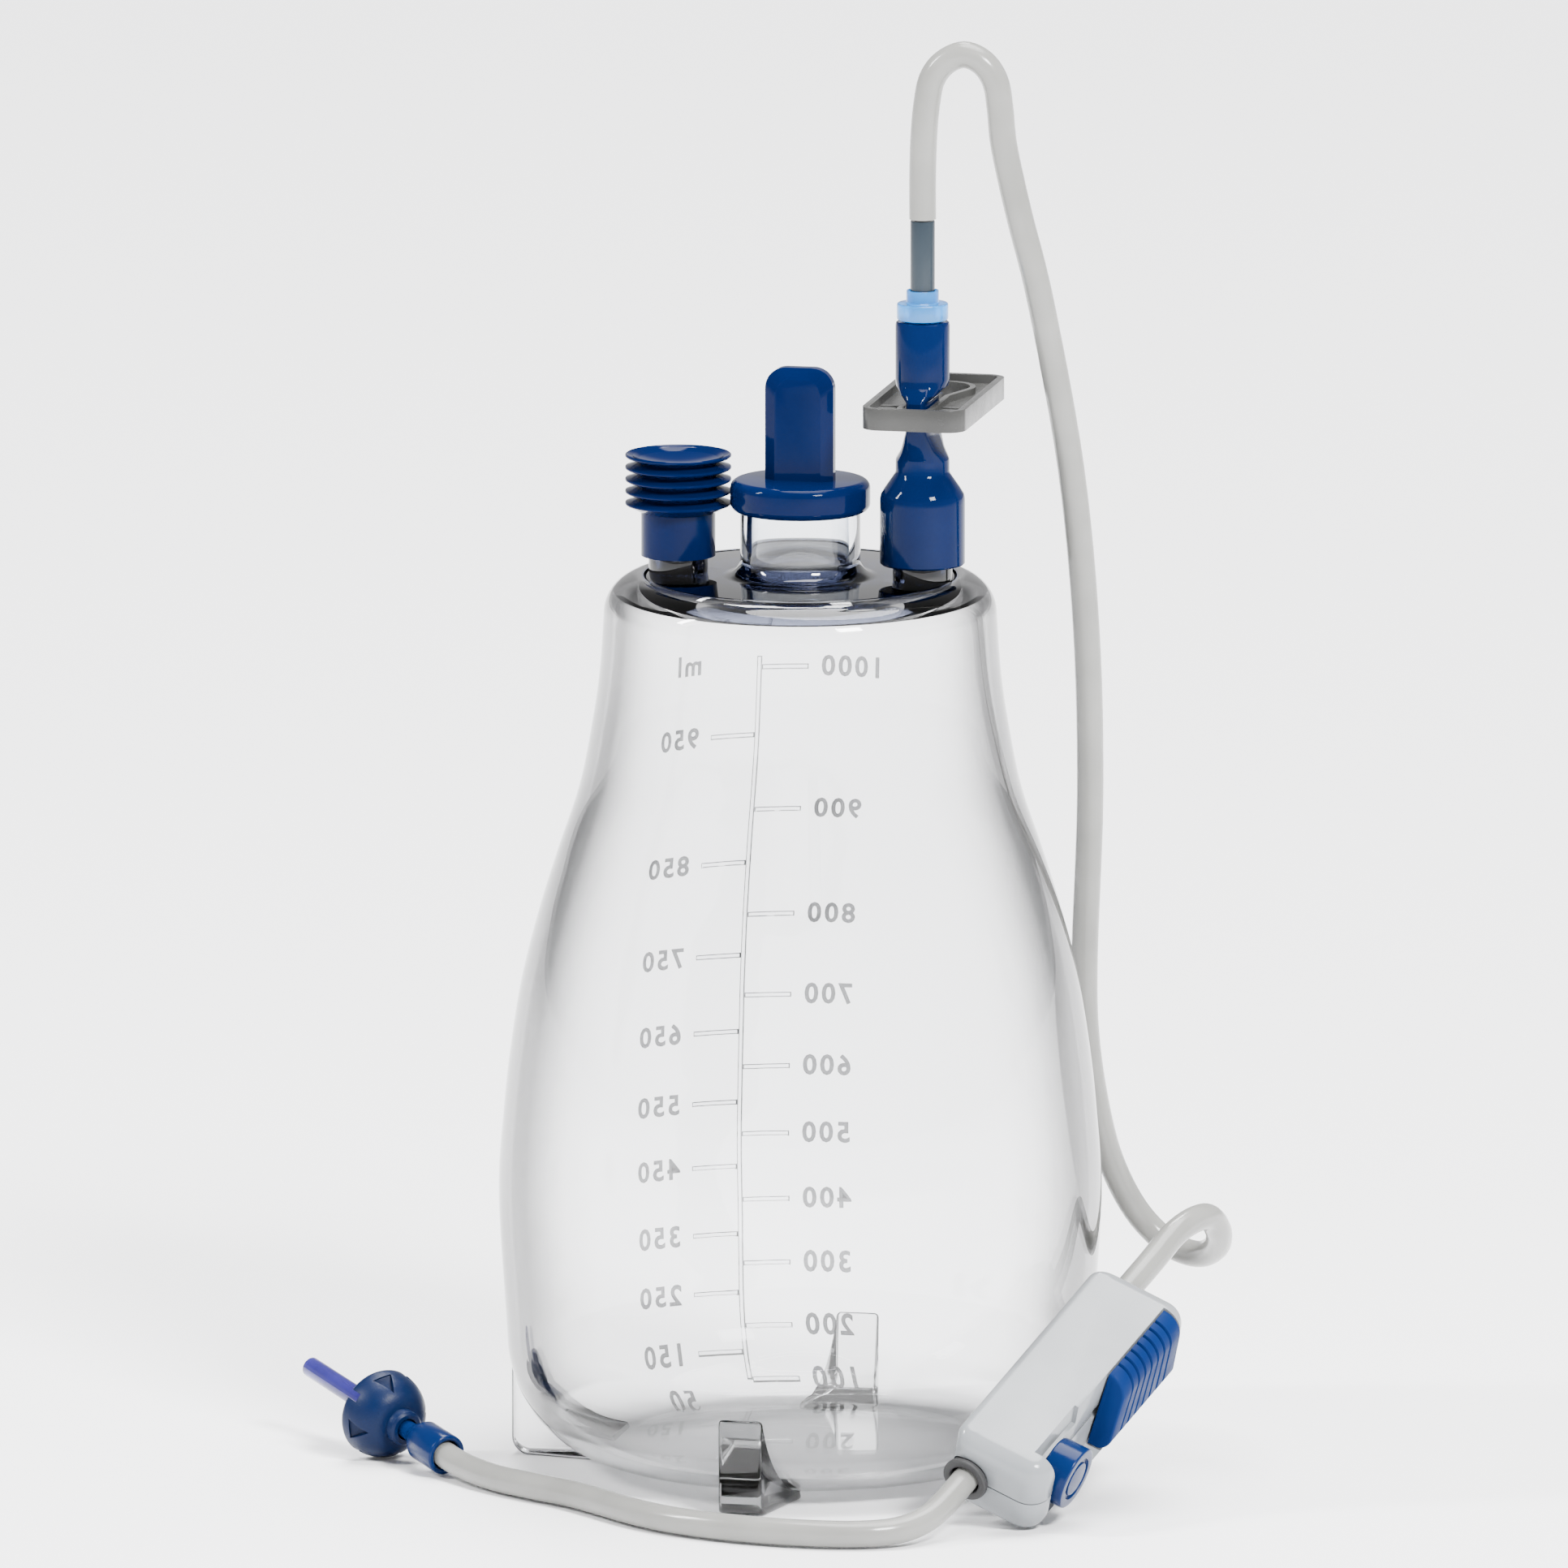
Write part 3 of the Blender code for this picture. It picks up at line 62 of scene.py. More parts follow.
# Places taken from the frame
BODY_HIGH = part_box("bottle_body")[1]
BODY_RADIUS = BODY_HIGH.x
BODY_HEIGHT = BODY_HIGH.z
PLATE_LOW, PLATE_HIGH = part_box("port_plate")
PLATE_RADIUS = PLATE_HIGH.x
PLATE_BOTTOM = PLATE_LOW.z
NECK_TOP = PLATE_HIGH.z
PORT_OFFSET = (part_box("port_sleeve")[0].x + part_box("port_sleeve")[1].x) / 2
SLEEVE_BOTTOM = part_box("port_sleeve")[0].z
SLEEVE_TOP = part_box("port_sleeve")[1].z
CAP_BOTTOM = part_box("neck_cap")[0].z
TAB_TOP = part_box("neck_cap")[1].z
CLAMP_LOW, CLAMP_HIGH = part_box("slide_clamp")
INSERT_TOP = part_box("tube_insert")[1].z

# Bottle
BODY_WALL = 0.0022
BODY_BASE_CLEARANCE = 0.0012
HEEL_FLAT_RADIUS = 0.0310
HEEL_HEIGHT = 0.0228
HEEL_RADIUS = 0.0523
HEEL_TOP = BODY_BASE_CLEARANCE + HEEL_HEIGHT
SHOULDER_FILLET = 0.0068
MOUTH_RADIUS = PLATE_RADIUS + TOUCH_GAP
MOUTH_LIP = 0.0003
SHOULDER_CENTRE = (MOUTH_RADIUS + MOUTH_LIP, BODY_HEIGHT - SHOULDER_FILLET)
SHOULDER_RADIUS = SHOULDER_CENTRE[0] + SHOULDER_FILLET
LEDGE_WIDTH = 0.0026
LEDGE_THICKNESS = 0.0010
LEDGE_HEIGHT = PLATE_BOTTOM - TOUCH_GAP
FLANK = [
    (0.19, 1.000),
    (0.31, 0.983),
    (0.40, 0.959),
    (0.49, 0.924),
    (0.58, 0.870),
    (0.67, 0.803),
    (0.76, 0.731),
    (0.85, 0.688),
    (0.92, 0.664),
]
FOOT_REACH = 0.0520
FOOT_HEIGHT = 0.0175
FOOT_TIP_WIDTH = 0.0076
FOOT_ROOT_WIDTH = 0.0150
FOOT_ROOT_RADIUS = 0.0330
FOOT_CORNER = 0.0032
FOOT_EDGE = 0.0007

# Port plate
PLATE_EDGE = 0.0006
NECK_RADIUS = 0.0107
NECK_WALL = 0.0019
NECK_BORE = NECK_RADIUS - NECK_WALL
NECK_FILLET = 0.0033
SPIGOT_RADIUS = 0.0050
SPIGOT_BORE = 0.0033
SPIGOT_TOP = BODY_HEIGHT + 0.0106
SPIGOT_ROOT = 0.0013
SPIGOT_EDGE = 0.0003
SPIGOT_COLLAR_RADIUS = 0.0053
SPIGOT_COLLAR_TOP = BODY_HEIGHT + 0.0025
SEAT_TOP = SPIGOT_COLLAR_TOP + TOUCH_GAP
SOCKET_RADIUS = SPIGOT_RADIUS + TOUCH_GAP
SOCKET_TOP = SPIGOT_TOP + TOUCH_GAP
DRILL_SPARE = 0.002
DRILL_TURN = 0.011

# Bellows
STEM_RADIUS = 0.00665
STEM_HEIGHT = 0.0078
BELLOWS_RADIUS = 0.0095
BELLOWS_VALLEY_RADIUS = 0.0072
BELLOWS_PITCH = 0.00215
BELLOWS_RIDGES = 5
BELLOWS_WALL = 0.0009
BELLOWS_RIDGE_EDGE = BELLOWS_PITCH * 0.14
BELLOWS_CREASE = [(0.0002, -0.00018), (0.0, 0.0), (0.0002, 0.00018)]
BELLOWS_DISH_DEPTH = 0.0019
BELLOWS_DISH_STOPS = [0.93, 0.85, 0.75, 0.6, 0.45, 0.3, 0.15, 0.0]

# Cap
CAP_RADIUS = 0.0125
CAP_HEIGHT = 0.0057
CAP_ROOF = 0.0023
CAP_PLUG_WALL = 0.0016
CAP_EDGE = 0.0015
TAB_WIDTH = 0.0124
TAB_THICKNESS = 0.0048
TAB_CORNER = 0.0038
TAB_BEVEL = 0.0020
TAB_BEVEL_DEPTH = 0.0014
TAB_ROOT = 0.0012
TAB_EDGE = 0.00015

# Sleeve
SLEEVE_RADIUS = 0.0076
SLEEVE_SHOULDER = SLEEVE_BOTTOM + 0.0118
SLEEVE_NECK_RADIUS = 0.0048
SLEEVE_NECK = SLEEVE_BOTTOM + 0.0166
WAIST_HALF_WIDTH = 0.00205
WAIST_HALF_DEPTH = 0.0070
WAIST_BOTTOM = SLEEVE_BOTTOM + 0.0251
WAIST_TOP = WAIST_BOTTOM + 0.0048
WAIST_SQUARENESS = 4.0
SLEEVE_TOP_RADIUS = 0.00485

# Slide clamp
CLAMP_PLATE_CORNER = 0.0035
CLAMP_PLATE_RIM = 0.0013
CLAMP_PLATE_RECESS = 0.0015
KEYHOLE_RADIUS = 0.0050
KEYHOLE_OFFSET = 0.0170
KEYHOLE_TAPER_START = 0.0080
KEYHOLE_RIM = 0.0010
GRIP_BARS = 3
GRIP_BAR_WIDTH = 0.0012
GRIP_BAR_PITCH = 0.0026
GRIP_BAR_HEIGHT = 0.0008

# Collar and insert
COLLAR_SEAT = SLEEVE_TOP + TOUCH_GAP
COLLAR_FLANGE_RADIUS = 0.0046
COLLAR_FLANGE_HEIGHT = 0.0030
COLLAR_SPIGOT_RADIUS = 0.0031
COLLAR_SPIGOT_LENGTH = 0.0065
COLLAR_NECK_RADIUS = 0.0029
COLLAR_NECK_HEIGHT = 0.0023
COLLAR_EDGE = 0.0004
INSERT_RADIUS = 0.0022
INSERT_WALL = 0.0007
INSERT_EDGE = 0.0002

# Tube
TUBE_RADIUS = 0.0024
TUBE_STEPS = 6
TUBE_ROUNDNESS = 8
TUBE_RISE = 0.0080
TUBE_REST = TUBE_RADIUS + TOUCH_GAP
TUBE_ARCH = [
    (0.0224, 0.0001, 0.2410),
    (0.0229, 0.0002, 0.2466),
    (0.0238, 0.0003, 0.2510),
    (0.0261, 0.0004, 0.2541),
    (0.0296, 0.0005, 0.2556),
    (0.0330, 0.0006, 0.2542),
    (0.0352, 0.0008, 0.2509),
    (0.0360, 0.0010, 0.2462),
    (0.0366, 0.0011, 0.2400),
    (0.0380, 0.0013, 0.2330),
    (0.0396, 0.0016, 0.2260),
    (0.0431, 0.0030, 0.2107),
    (0.0476, 0.0075, 0.1806),
    (0.0493, 0.0130, 0.1504),
    (0.0488, 0.0190, 0.1198),
    (0.0464, 0.0260, 0.0893),
    (0.0458, 0.0302, 0.0742),
    (0.0467, 0.0345, 0.0608),
    (0.0486, 0.0384, 0.0497),
    (0.0526, 0.0414, 0.0402),
    (0.0584, 0.0418, 0.0343),
    (0.0645, 0.0388, 0.0330),
    (0.0691, 0.0326, 0.0358),
    (0.0711, 0.0244, 0.0405),
    (0.0703, 0.0166, 0.0443),
]
TUBE_GROUND = [
    (0.0371, -0.0666, 0.0043),
    (0.0329, -0.0717, 0.0030),
    (0.0265, -0.0749, TUBE_REST),
    (0.0182, -0.0760, TUBE_REST),
    (0.0088, -0.0752, TUBE_REST),
    (-0.0005, -0.0728, TUBE_REST),
    (-0.0094, -0.0688, TUBE_REST),
    (-0.0172, -0.0631, TUBE_REST),
    (-0.0243, -0.0562, TUBE_REST),
    (-0.0316, -0.0497, TUBE_REST),
    (-0.0397, -0.0444, TUBE_REST),
    (-0.0478, -0.0382, TUBE_REST),
]

# Flow clamp
CASE_CENTRE = Vector((0.0553, -0.0334, 0.0199))
CASE_HEADING = radians(-111.5)
CASE_PITCH = radians(26.0)
CASE_ROLL = radians(25.0)
CASE_LENGTH = 0.0540
CASE_SIDE = 0.0095
CASE_HALF_HEIGHT = 0.0081
CASE_EDGE = 0.0038
CASE_BACK_EDGE = 0.0018
CASE_CORNER = 0.0042
CASE_WALL = 0.0017
TUBE_LANE = 0.0048
WINDOW_BACK = -0.0233
WINDOW_FRONT = 0.0219
WINDOW_STEP = 0.0075
WINDOW_STEP_DEPTH = 0.0008
WINDOW_FLOOR = CASE_SIDE - 0.0039
WINDOW_SILL = 0.0066
CAVITY_SIDE = WINDOW_FLOOR - 0.0016
SLIT_HALF_HEIGHT = 0.0013
WINDOW_STEP_SILL = SLIT_HALF_HEIGHT * 3
TUBE_BORE = TUBE_RADIUS + SLIDE_GAP
BUSH_RADIUS = TUBE_BORE + 0.0009
BUSH_HOLE = BUSH_RADIUS + TOUCH_GAP
BUSH_FLANGE = 0.0006
BUSH_FLANGE_LENGTH = 0.0011
BUSH_EDGE = 0.0004
SLIDER_BACK = WINDOW_BACK + SLIDE_GAP
SLIDER_LENGTH = 0.0200
SLIDER_BULGE = 0.0005
SLIDER_LEAN = 0.0040
SLIDER_TRAVEL = 0.0085
GROOVE_COUNT = 7
GROOVE_PITCH = 0.0022
GROOVE_WIDTH = 0.0007
GROOVE_DEPTH = 0.0005
GROOVE_START = 0.0032
GROOVE_SHAPE = [(0.0, 0.0), (0.15, 0.35), (0.35, 1.0), (0.65, 1.0), (0.85, 0.35), (1.0, 0.0)]
SLIDER_END = [(0.0, 0.0004), (0.0001, 0.00015), (0.0004, 0.0)]
SLIDER_NECK_INSET = 0.0036
SLIDER_NECK_LENGTH = 0.0110
SLIDER_FOOT_HALF_HEIGHT = 0.0036
SLIDER_OVERLAP = 0.0016
WHEEL_RADIUS = 0.0058
WHEEL_AXIS = WINDOW_FRONT - WHEEL_RADIUS - SLIDE_GAP
WHEEL_PROUD = 0.0017
WHEEL_EDGE = 0.0004
WHEEL_RING_RADIUS = 0.0036
WHEEL_RING_WIDTH = 0.0008
WHEEL_RING_DEPTH = 0.0004
PIN_RADIUS = 0.0012
PIN_DEPTH = 0.0032

# Connector
HUB_END = Vector((-0.0585, -0.0275))
HUB_HEADING = radians(135.0)
HUB_RADIUS = 0.0037
HUB_LENGTH = 0.0076
HUB_CONE = 0.0032
HUB_NECK_RADIUS = 0.0017
HUB_SOCKET_DEPTH = 0.0040
HUB_EDGE = 0.0005
NECK_END = HUB_LENGTH + HUB_CONE + 0.0056
DOME_RADIUS = 0.0080
DOME_START = 0.0134
DOME_COLLAR_RADIUS = 0.0032
DOME_COLLAR_WALL = 0.0009
DOME_DEPTH = 0.0092
DOME_WALL = 0.0022
DOME_BOSS_RADIUS = 0.0030
BOSS_START = DOME_START + 0.0022
BOSS_END = BOSS_START + 0.0062
DOME_HOLLOWS = 4
DOME_HOLLOW_SIZE = 0.0038
DOME_HOLLOW_DEPTH = 0.0014
DOME_HOLLOW_PLAN = [(0.62, 0.5), (-0.45, 0.0), (0.62, -0.5)]
DOME_HOLLOW_SLOPE = radians(52.0)
DOME_EDGE = 0.00018
DOME_TURN = radians(32.5)
DOME_NOTCHES = 4
DOME_NOTCH_WIDTH = 0.0016
DOME_NOTCH_DEPTH = 0.0022
TIP_RADIUS = 0.0011
TIP_START = NECK_END + 2 * TOUCH_GAP
TIP_LENGTH = 0.0275
SHEATH_RADIUS = 0.00185
SHEATH_WALL = 0.00045
SHEATH_EDGE = 0.0003
SHEATH_START = BOSS_END + TOUCH_GAP
SHEATH_LENGTH = 0.0240

# Graduations: millilitres and the height of each mark on the wall
MARKS = [
    (50, 0.0024),
    (100, 0.0060),
    (150, 0.0106),
    (200, 0.0150),
    (250, 0.0210),
    (300, 0.0262),
    (350, 0.0315),
    (400, 0.0377),
    (450, 0.0438),
    (500, 0.0496),
    (550, 0.0556),
    (600, 0.0621),
    (650, 0.0687),
    (700, 0.0754),
    (750, 0.0830),
    (800, 0.0907),
    (850, 0.1007),
    (900, 0.1110),
    (950, 0.1254),
    (1000, 0.1381),
]
SCALE_ANGLE = radians(114.0)
RELIEF = 0.00035
RELIEF_SLOPE = 0.00022
RELIEF_STEP = 0.003
STROKE = 0.00098
TICK_LENGTH = 0.0092
NUMERAL_OFFSET = 0.0116
NUMERAL_SIZE = 0.0052
NUMERAL_WEIGHT = 0.00003
NUMERAL_SPACING = 1.22
SCALE_OVERRUN = 0.002
UNIT_RAISE = 0.001

# Clear plastic: the heights where its painted shade changes, and how soft the change is
BASE_SHADE_HEIGHT = 0.009
PLATE_SHADE_HEIGHT = SPIGOT_COLLAR_TOP + 0.0002
SHADE_BLEND = 0.0004

# Photograph's frame: 1932 x 1932 pixels, taken nearly without perspective
PHOTO_SIDE = 1932
PHOTO_WIDTH = 0.280
PHOTO_AXIS_X = 986
PHOTO_BASE_Y = 1813
PHOTO_RAISE = 12
CAMERA_AZIMUTH = radians(12.0)
CAMERA_ELEVATION = radians(10.4)
CAMERA_LENS = 1000.0
CAMERA_SENSOR = 36.0

# Light panels: name, place, width, height and watts
PANELS = [
    ("key", (-1.25, -0.47, 1.07), 0.12, 0.45, 28.0),
    ("fill", (0.93, -0.95, 1.15), 0.38, 0.32, 66.0),
    ("back", (-0.30, 1.30, 1.80), 0.60, 0.40, 24.0),
]
PANEL_TARGET = Vector((0, 0, 0.15))
OVERHEAD_POWER = 8.0
OVERHEAD_SPREAD = radians(45.0)
OVERHEAD_TILT = (radians(-8.0), radians(6.0), 0)
FLOOR_HALF_SIZE = 14.0
FLOOR_COLOUR = (0.95, 0.95, 0.96, 1.0)

# World brightness by the sine of the height above the horizon
SKY = [(0.0, 0.9), (0.30, 0.9), (0.42, 0.30), (1.0, 0.20)]
SKY_BLUENESS = 1.02


# Materials


def shader_of(name):
    material = bpy.data.materials.new(name)
    material.use_nodes = True
    return material, material.node_tree.nodes["Principled BSDF"]


def set_inputs(node, values):
    for name, value in values.items():
        node.inputs[name].default_value = value


def add_node(material, kind, values=None):
    node = material.node_tree.nodes.new(kind)
    set_inputs(node, values or {})
    return node


def colour_mix(material, values=None):
    mix = add_node(material, "ShaderNodeMix")
    mix.data_type = "RGBA"
    set_inputs(mix, values or {})
    return mix


def wire(start, end):
    start.id_data.links.new(start, end)


def noise_at(material, scale, detail=3.0, roughness=0.5):
    place = add_node(material, "ShaderNodeTexCoord")
    noise = add_node(
        material, "ShaderNodeTexNoise", {"Scale": scale, "Detail": detail, "Roughness": roughness}
    )
    wire(place.outputs["Object"], noise.inputs["Vector"])
    return noise.outputs["Fac"]


def ranged(material, value, low, high):
    """The value's middle part spread between low and high."""
    limits = {"From Min": 0.3, "From Max": 0.7, "To Min": low, "To Max": high}
    spread = add_node(material, "ShaderNodeMapRange", limits)
    wire(value, spread.inputs["Value"])
    return spread.outputs["Result"]


def uneven_gloss(material, shader, scale, low, high):
    wire(ranged(material, noise_at(material, scale), low, high), shader.inputs["Roughness"])


def bumped(material, shader, height, strength, distance):
    bump = add_node(material, "ShaderNodeBump", {"Strength": strength, "Distance": distance})
    wire(height, bump.inputs["Height"])
    wire(bump.outputs["Normal"], shader.inputs["Normal"])


def fill_ramp(ramp, colours):
    elements = ramp.color_ramp.elements
    while len(elements) < len(colours):
        elements.new(0.5)
    for element, (place, colour) in zip(elements, colours):
        element.position = place
        element.color = (*colour, 1.0)


def edge_tint(material, colours):
    """Painted shade: the clear plastic's colour darkening from facing the eye to edge-on, in place of the
    dark reflections at its edges.
    """
    facing = add_node(material, "ShaderNodeLayerWeight", {"Blend": 0.5})
    ramp = add_node(material, "ShaderNodeValToRGB")
    fill_ramp(ramp, colours)
    wire(facing.outputs["Facing"], ramp.inputs["Fac"])
    return ramp.outputs["Color"]


def above(material, height, soft):
    """0 below this height and 1 above it."""
    place = add_node(material, "ShaderNodeTexCoord")
    split = add_node(material, "ShaderNodeSeparateXYZ")
    wire(place.outputs["Object"], split.inputs["Vector"])
    limits = {"From Min": height - soft, "From Max": height + soft}
    step = add_node(material, "ShaderNodeMapRange", limits)
    wire(split.outputs["Z"], step.inputs["Value"])
    return step.outputs["Result"]


def clear(name, colours, roughness, grain, ior, low_colours=None, low_height=0.0):
    """Clear plastic: slow waves in its surface, uneven gloss and painted shade that darkens it towards
    its edges.
    """
    material, shader = shader_of(name)
    painted_edges = edge_tint(material, colours)
    if low_colours:
        mix = colour_mix(material)
        wire(above(material, low_height, SHADE_BLEND), mix.inputs["Factor"])
        wire(edge_tint(material, low_colours), mix.inputs["A"])
        wire(painted_edges, mix.inputs["B"])
        painted_edges = mix.outputs["Result"]
    wire(painted_edges, shader.inputs["Base Color"])
    uneven_gloss(material, shader, 60.0, roughness * 0.7, roughness * 1.5)
    bumped(material, shader, noise_at(material, 45.0, 1.5), grain, 0.001)
    set_inputs(shader, {"Transmission Weight": 1.0, "IOR": ior})
    return material


def plastic(
    name, dark, light, roughness, grain_scale, grain, transmission=0.0, ior=1.5, inside=0.0, gloss=0.5
):
    """Moulded plastic: two close tones in large clouds, uneven gloss and a fine mould grain."""
    material, shader = shader_of(name)
    mix = colour_mix(material, {"A": (*dark, 1.0), "B": (*light, 1.0)})
    clouds = ranged(material, noise_at(material, 90.0, 2.0), 0.0, 1.0)
    wire(clouds, mix.inputs["Factor"])
    wire(mix.outputs["Result"], shader.inputs["Base Color"])
    uneven_gloss(material, shader, 260.0, roughness * 0.85, roughness * 1.2)
    bumped(material, shader, noise_at(material, grain_scale, 4.0, 0.6), grain, 0.0001)
    set_inputs(shader, {"Transmission Weight": transmission, "IOR": ior, "Specular IOR Level": gloss})
    if inside:
        depth = {"Subsurface Radius": (0.004, 0.004, 0.004), "Subsurface Scale": 0.5}
        set_inputs(shader, {"Subsurface Weight": inside, **depth})
    return material


# Painted shade and reflection: near white facing the eye, near black edge-on; below the base height the
# painted shade is much lighter
CLEAR = clear(
    "clear_plastic",
    [
        (0.0, (0.985, 0.99, 0.995)),
        (0.30, (0.94, 0.942, 0.945)),
        (0.42, (0.76, 0.760, 0.762)),
        (0.54, (0.38, 0.380, 0.381)),
        (0.70, (0.05, 0.050, 0.051)),
        (0.88, (0.006, 0.006, 0.006)),
        (1.0, (0.03, 0.031, 0.032)),
    ],
    0.010,
    0.05,
    1.46,
    [
        (0.0, (0.99, 0.995, 1.0)),
        (0.50, (0.97, 0.975, 0.98)),
        (0.90, (0.95, 0.955, 0.96)),
        (1.0, (0.50, 0.51, 0.52)),
    ],
    BASE_SHADE_HEIGHT,
)
# Painted reflection: below the spigot collars' top the plate is painted near-black navy, and above it the
# plate darkens to dark blue edge-on
PLATE_CLEAR = clear(
    "clear_plate",
    [
        (0.0, (0.96, 0.98, 1.0)),
        (0.60, (0.86, 0.90, 0.96)),
        (0.85, (0.35, 0.42, 0.55)),
        (1.0, (0.05, 0.06, 0.12)),
    ],
    0.010,
    0.04,
    1.49,
    [
        (0.0, (0.025, 0.030, 0.056)),
        (0.50, (0.012, 0.015, 0.032)),
        (0.80, (0.003, 0.004, 0.011)),
        (1.0, (0.001, 0.001, 0.0025)),
    ],
    PLATE_SHADE_HEIGHT,
)
# Painted reflection: the clear feet turn near black as they turn away from the eye
FOOT_CLEAR = clear(
    "clear_foot",
    [
        (0.0, (0.97, 0.975, 0.98)),
        (0.20, (0.84, 0.84, 0.85)),
        (0.36, (0.02, 0.02, 0.022)),
        (1.0, (0.001, 0.001, 0.001)),
    ],
    0.010,
    0.04,
    1.46,
)
BLUE = plastic(
    "moulded_blue", (0.0015, 0.010, 0.054), (0.002, 0.014, 0.068), 0.16, 5200.0, 0.10, gloss=0.12
)
BLUE_MATT = plastic(
    "thumb_blue", (0.002, 0.013, 0.070), (0.003, 0.017, 0.085), 0.42, 5200.0, 0.15, gloss=0.04
)
BLUE_GRAINED = plastic(
    "grained_blue", (0.001, 0.006, 0.029), (0.002, 0.009, 0.040), 0.34, 3400.0, 0.45, gloss=0.12
)
RUBBER = plastic(
    "blue_rubber", (0.0005, 0.005, 0.034), (0.0008, 0.0065, 0.043), 0.06, 3000.0, 0.03, gloss=0.06
)
SILICONE = plastic(
    "sleeve_blue", (0.0007, 0.006, 0.037), (0.001, 0.008, 0.046), 0.06, 2600.0, 0.04, gloss=0.08
)
PALE_BLUE = plastic(
    "pale_blue", (0.030, 0.29, 0.76), (0.045, 0.34, 0.81), 0.10, 2500.0, 0.03, 0.6, 1.42
)
CLAMP_GREY = plastic(
    "clamp_grey", (0.036, 0.036, 0.035), (0.050, 0.050, 0.048), 0.24, 4200.0, 0.22, gloss=0.25
)
INSERT_GREY = plastic(
    "insert_grey", (0.017, 0.025, 0.033), (0.024, 0.034, 0.044), 0.16, 2500.0, 0.05, gloss=0.2
)
TUBE_PALE = plastic(
    "tube_translucent", (0.225, 0.225, 0.212), (0.265, 0.265, 0.250), 0.18, 1500.0, 0.04, 0.10, 1.42, 0.15
)
SHELL_WHITE = plastic(
    "shell_white", (0.215, 0.228, 0.240), (0.240, 0.253, 0.265), 0.14, 5200.0, 0.12, gloss=0.35
)
BUSH_DARK = plastic(
    "bush_dark", (0.030, 0.030, 0.031), (0.045, 0.045, 0.046), 0.45, 3500.0, 0.25, gloss=0.2
)
PURPLE = plastic(
    "sheath_purple", (0.055, 0.048, 0.30), (0.075, 0.065, 0.36), 0.04, 1500.0, 0.02, 0.70, 1.46
)
TIP_WHITE = plastic("tip_white", (0.70, 0.72, 0.80), (0.78, 0.80, 0.86), 0.15, 2500.0, 0.05, 0.2)
# Painted shade: the graduations' tops darken a little edge-on, and their sloping sides and figures are
# painted dark grey
RELIEF_CLEAR = clear(
    "relief_clear", [(0.0, (0.985, 0.985, 0.99)), (1.0, (0.75, 0.75, 0.76))], 0.02, 0.02, 1.46
)
RELIEF_SHADE = clear(
    "relief_shade", [(0.0, (0.11, 0.11, 0.113)), (1.0, (0.03, 0.03, 0.031))], 0.12, 0.02, 1.46
)


def brushed_steel():
    material, shader = shader_of("pin_steel")
    set_inputs(shader, {"Base Color": (0.55, 0.56, 0.58, 1.0), "Metallic": 1.0})
    uneven_gloss(material, shader, 2500.0, 0.22, 0.38)
    return material


STEEL = brushed_steel()


# Mesh helpers


def arc(centre, radius, start, end, steps, squash=1.0):
    """Points on an arc, angles in degrees, its second axis scaled by squash."""
    points = []
    for step in range(steps + 1):
        angle = radians(start + (end - start) * step / steps)
        points.append(
            (centre[0] + radius * cos(angle), centre[1] + radius * squash * sin(angle))
        )
    return points


def smooth_through(points, steps):
    """A Catmull-Rom curve through these points, with this many steps between two of them."""
    known = [Vector(p) for p in points]
    ends = [2 * known[0] - known[1], *known, 2 * known[-1] - known[-2]]
    out = []
    for i in range(1, len(ends) - 2):
        a, b, c, d = ends[i - 1 : i + 3]
        for step in range(steps):
            t = step / steps
            square, cube = 2 * a - 5 * b + 4 * c - d, 3 * b - a - 3 * c + d
            out.append(0.5 * (2 * b + (c - a) * t + square * t**2 + cube * t**3))
    out.append(known[-1])
    return out


def flat(points, steps):
    """A smooth (radius, height) profile through these points."""
    return [(p.x, p.y) for p in smooth_through([(*p, 0) for p in points], steps)]


def stepped(*stops):
    """A profile of square steps: a radius, a height, a radius, a height and so on."""
    pairs = zip(stops, stops[1:])
    return [(b, a) if number % 2 else (a, b) for number, (a, b) in enumerate(pairs)]


def inset(profile, distance):
    out = []
    for i, (x, z) in enumerate(profile):
        before = profile[max(i - 1, 0)]
        after = profile[min(i + 1, len(profile) - 1)]
        along = Vector((after[0] - before[0], after[1] - before[1])).normalized()
        out.append((x - along.y * distance, z + along.x * distance))
    return out


def softened(profile, radius, steps=3, sharp=40.0):
    """The closed profile with its corners rounded where they turn more than sharp, except on the axis."""
    out = []
    count = len(profile)
    for i, point in enumerate(profile):
        here = Vector(point)
        before = Vector(profile[i - 1])
        after = Vector(profile[(i + 1) % count])
        into, away = here - before, after - here
        kept = point[0] < 1e-6 or into.length < 1e-7 or away.length < 1e-7
        if kept or degrees(into.angle(away)) < sharp:
            out.append(point)
            continue
        reach = min(radius, into.length * 0.45, away.length * 0.45)
        start = here - into.normalized() * reach
        end = here + away.normalized() * reach
        for step in range(steps + 1):
            t = step / steps
            bent = start * (1 - t) ** 2 + here * 2 * t * (1 - t) + end * t**2
            out.append((max(bent.x, 0.0), bent.y))
    return out


def with_settings(thing, **settings):
    for key, value in settings.items():
        setattr(thing, key, value)
    return thing


def shown(name, data):
    """A new object in the scene."""
    item = bpy.data.objects.new(name, data)
    bpy.context.scene.collection.objects.link(item)
    return item


def shift(x=0.0, y=0.0, z=0.0):
    return Matrix.Translation((x, y, z))


def object_from(name, bm, sharp=32.0):
    bmesh.ops.recalc_face_normals(bm, faces=bm.faces)
    mesh = bpy.data.meshes.new(name)
    bm.to_mesh(mesh)
    bm.free()
    mesh.shade_smooth()
    mesh.set_sharp_from_angle(angle=radians(sharp))
    return shown(name, mesh)


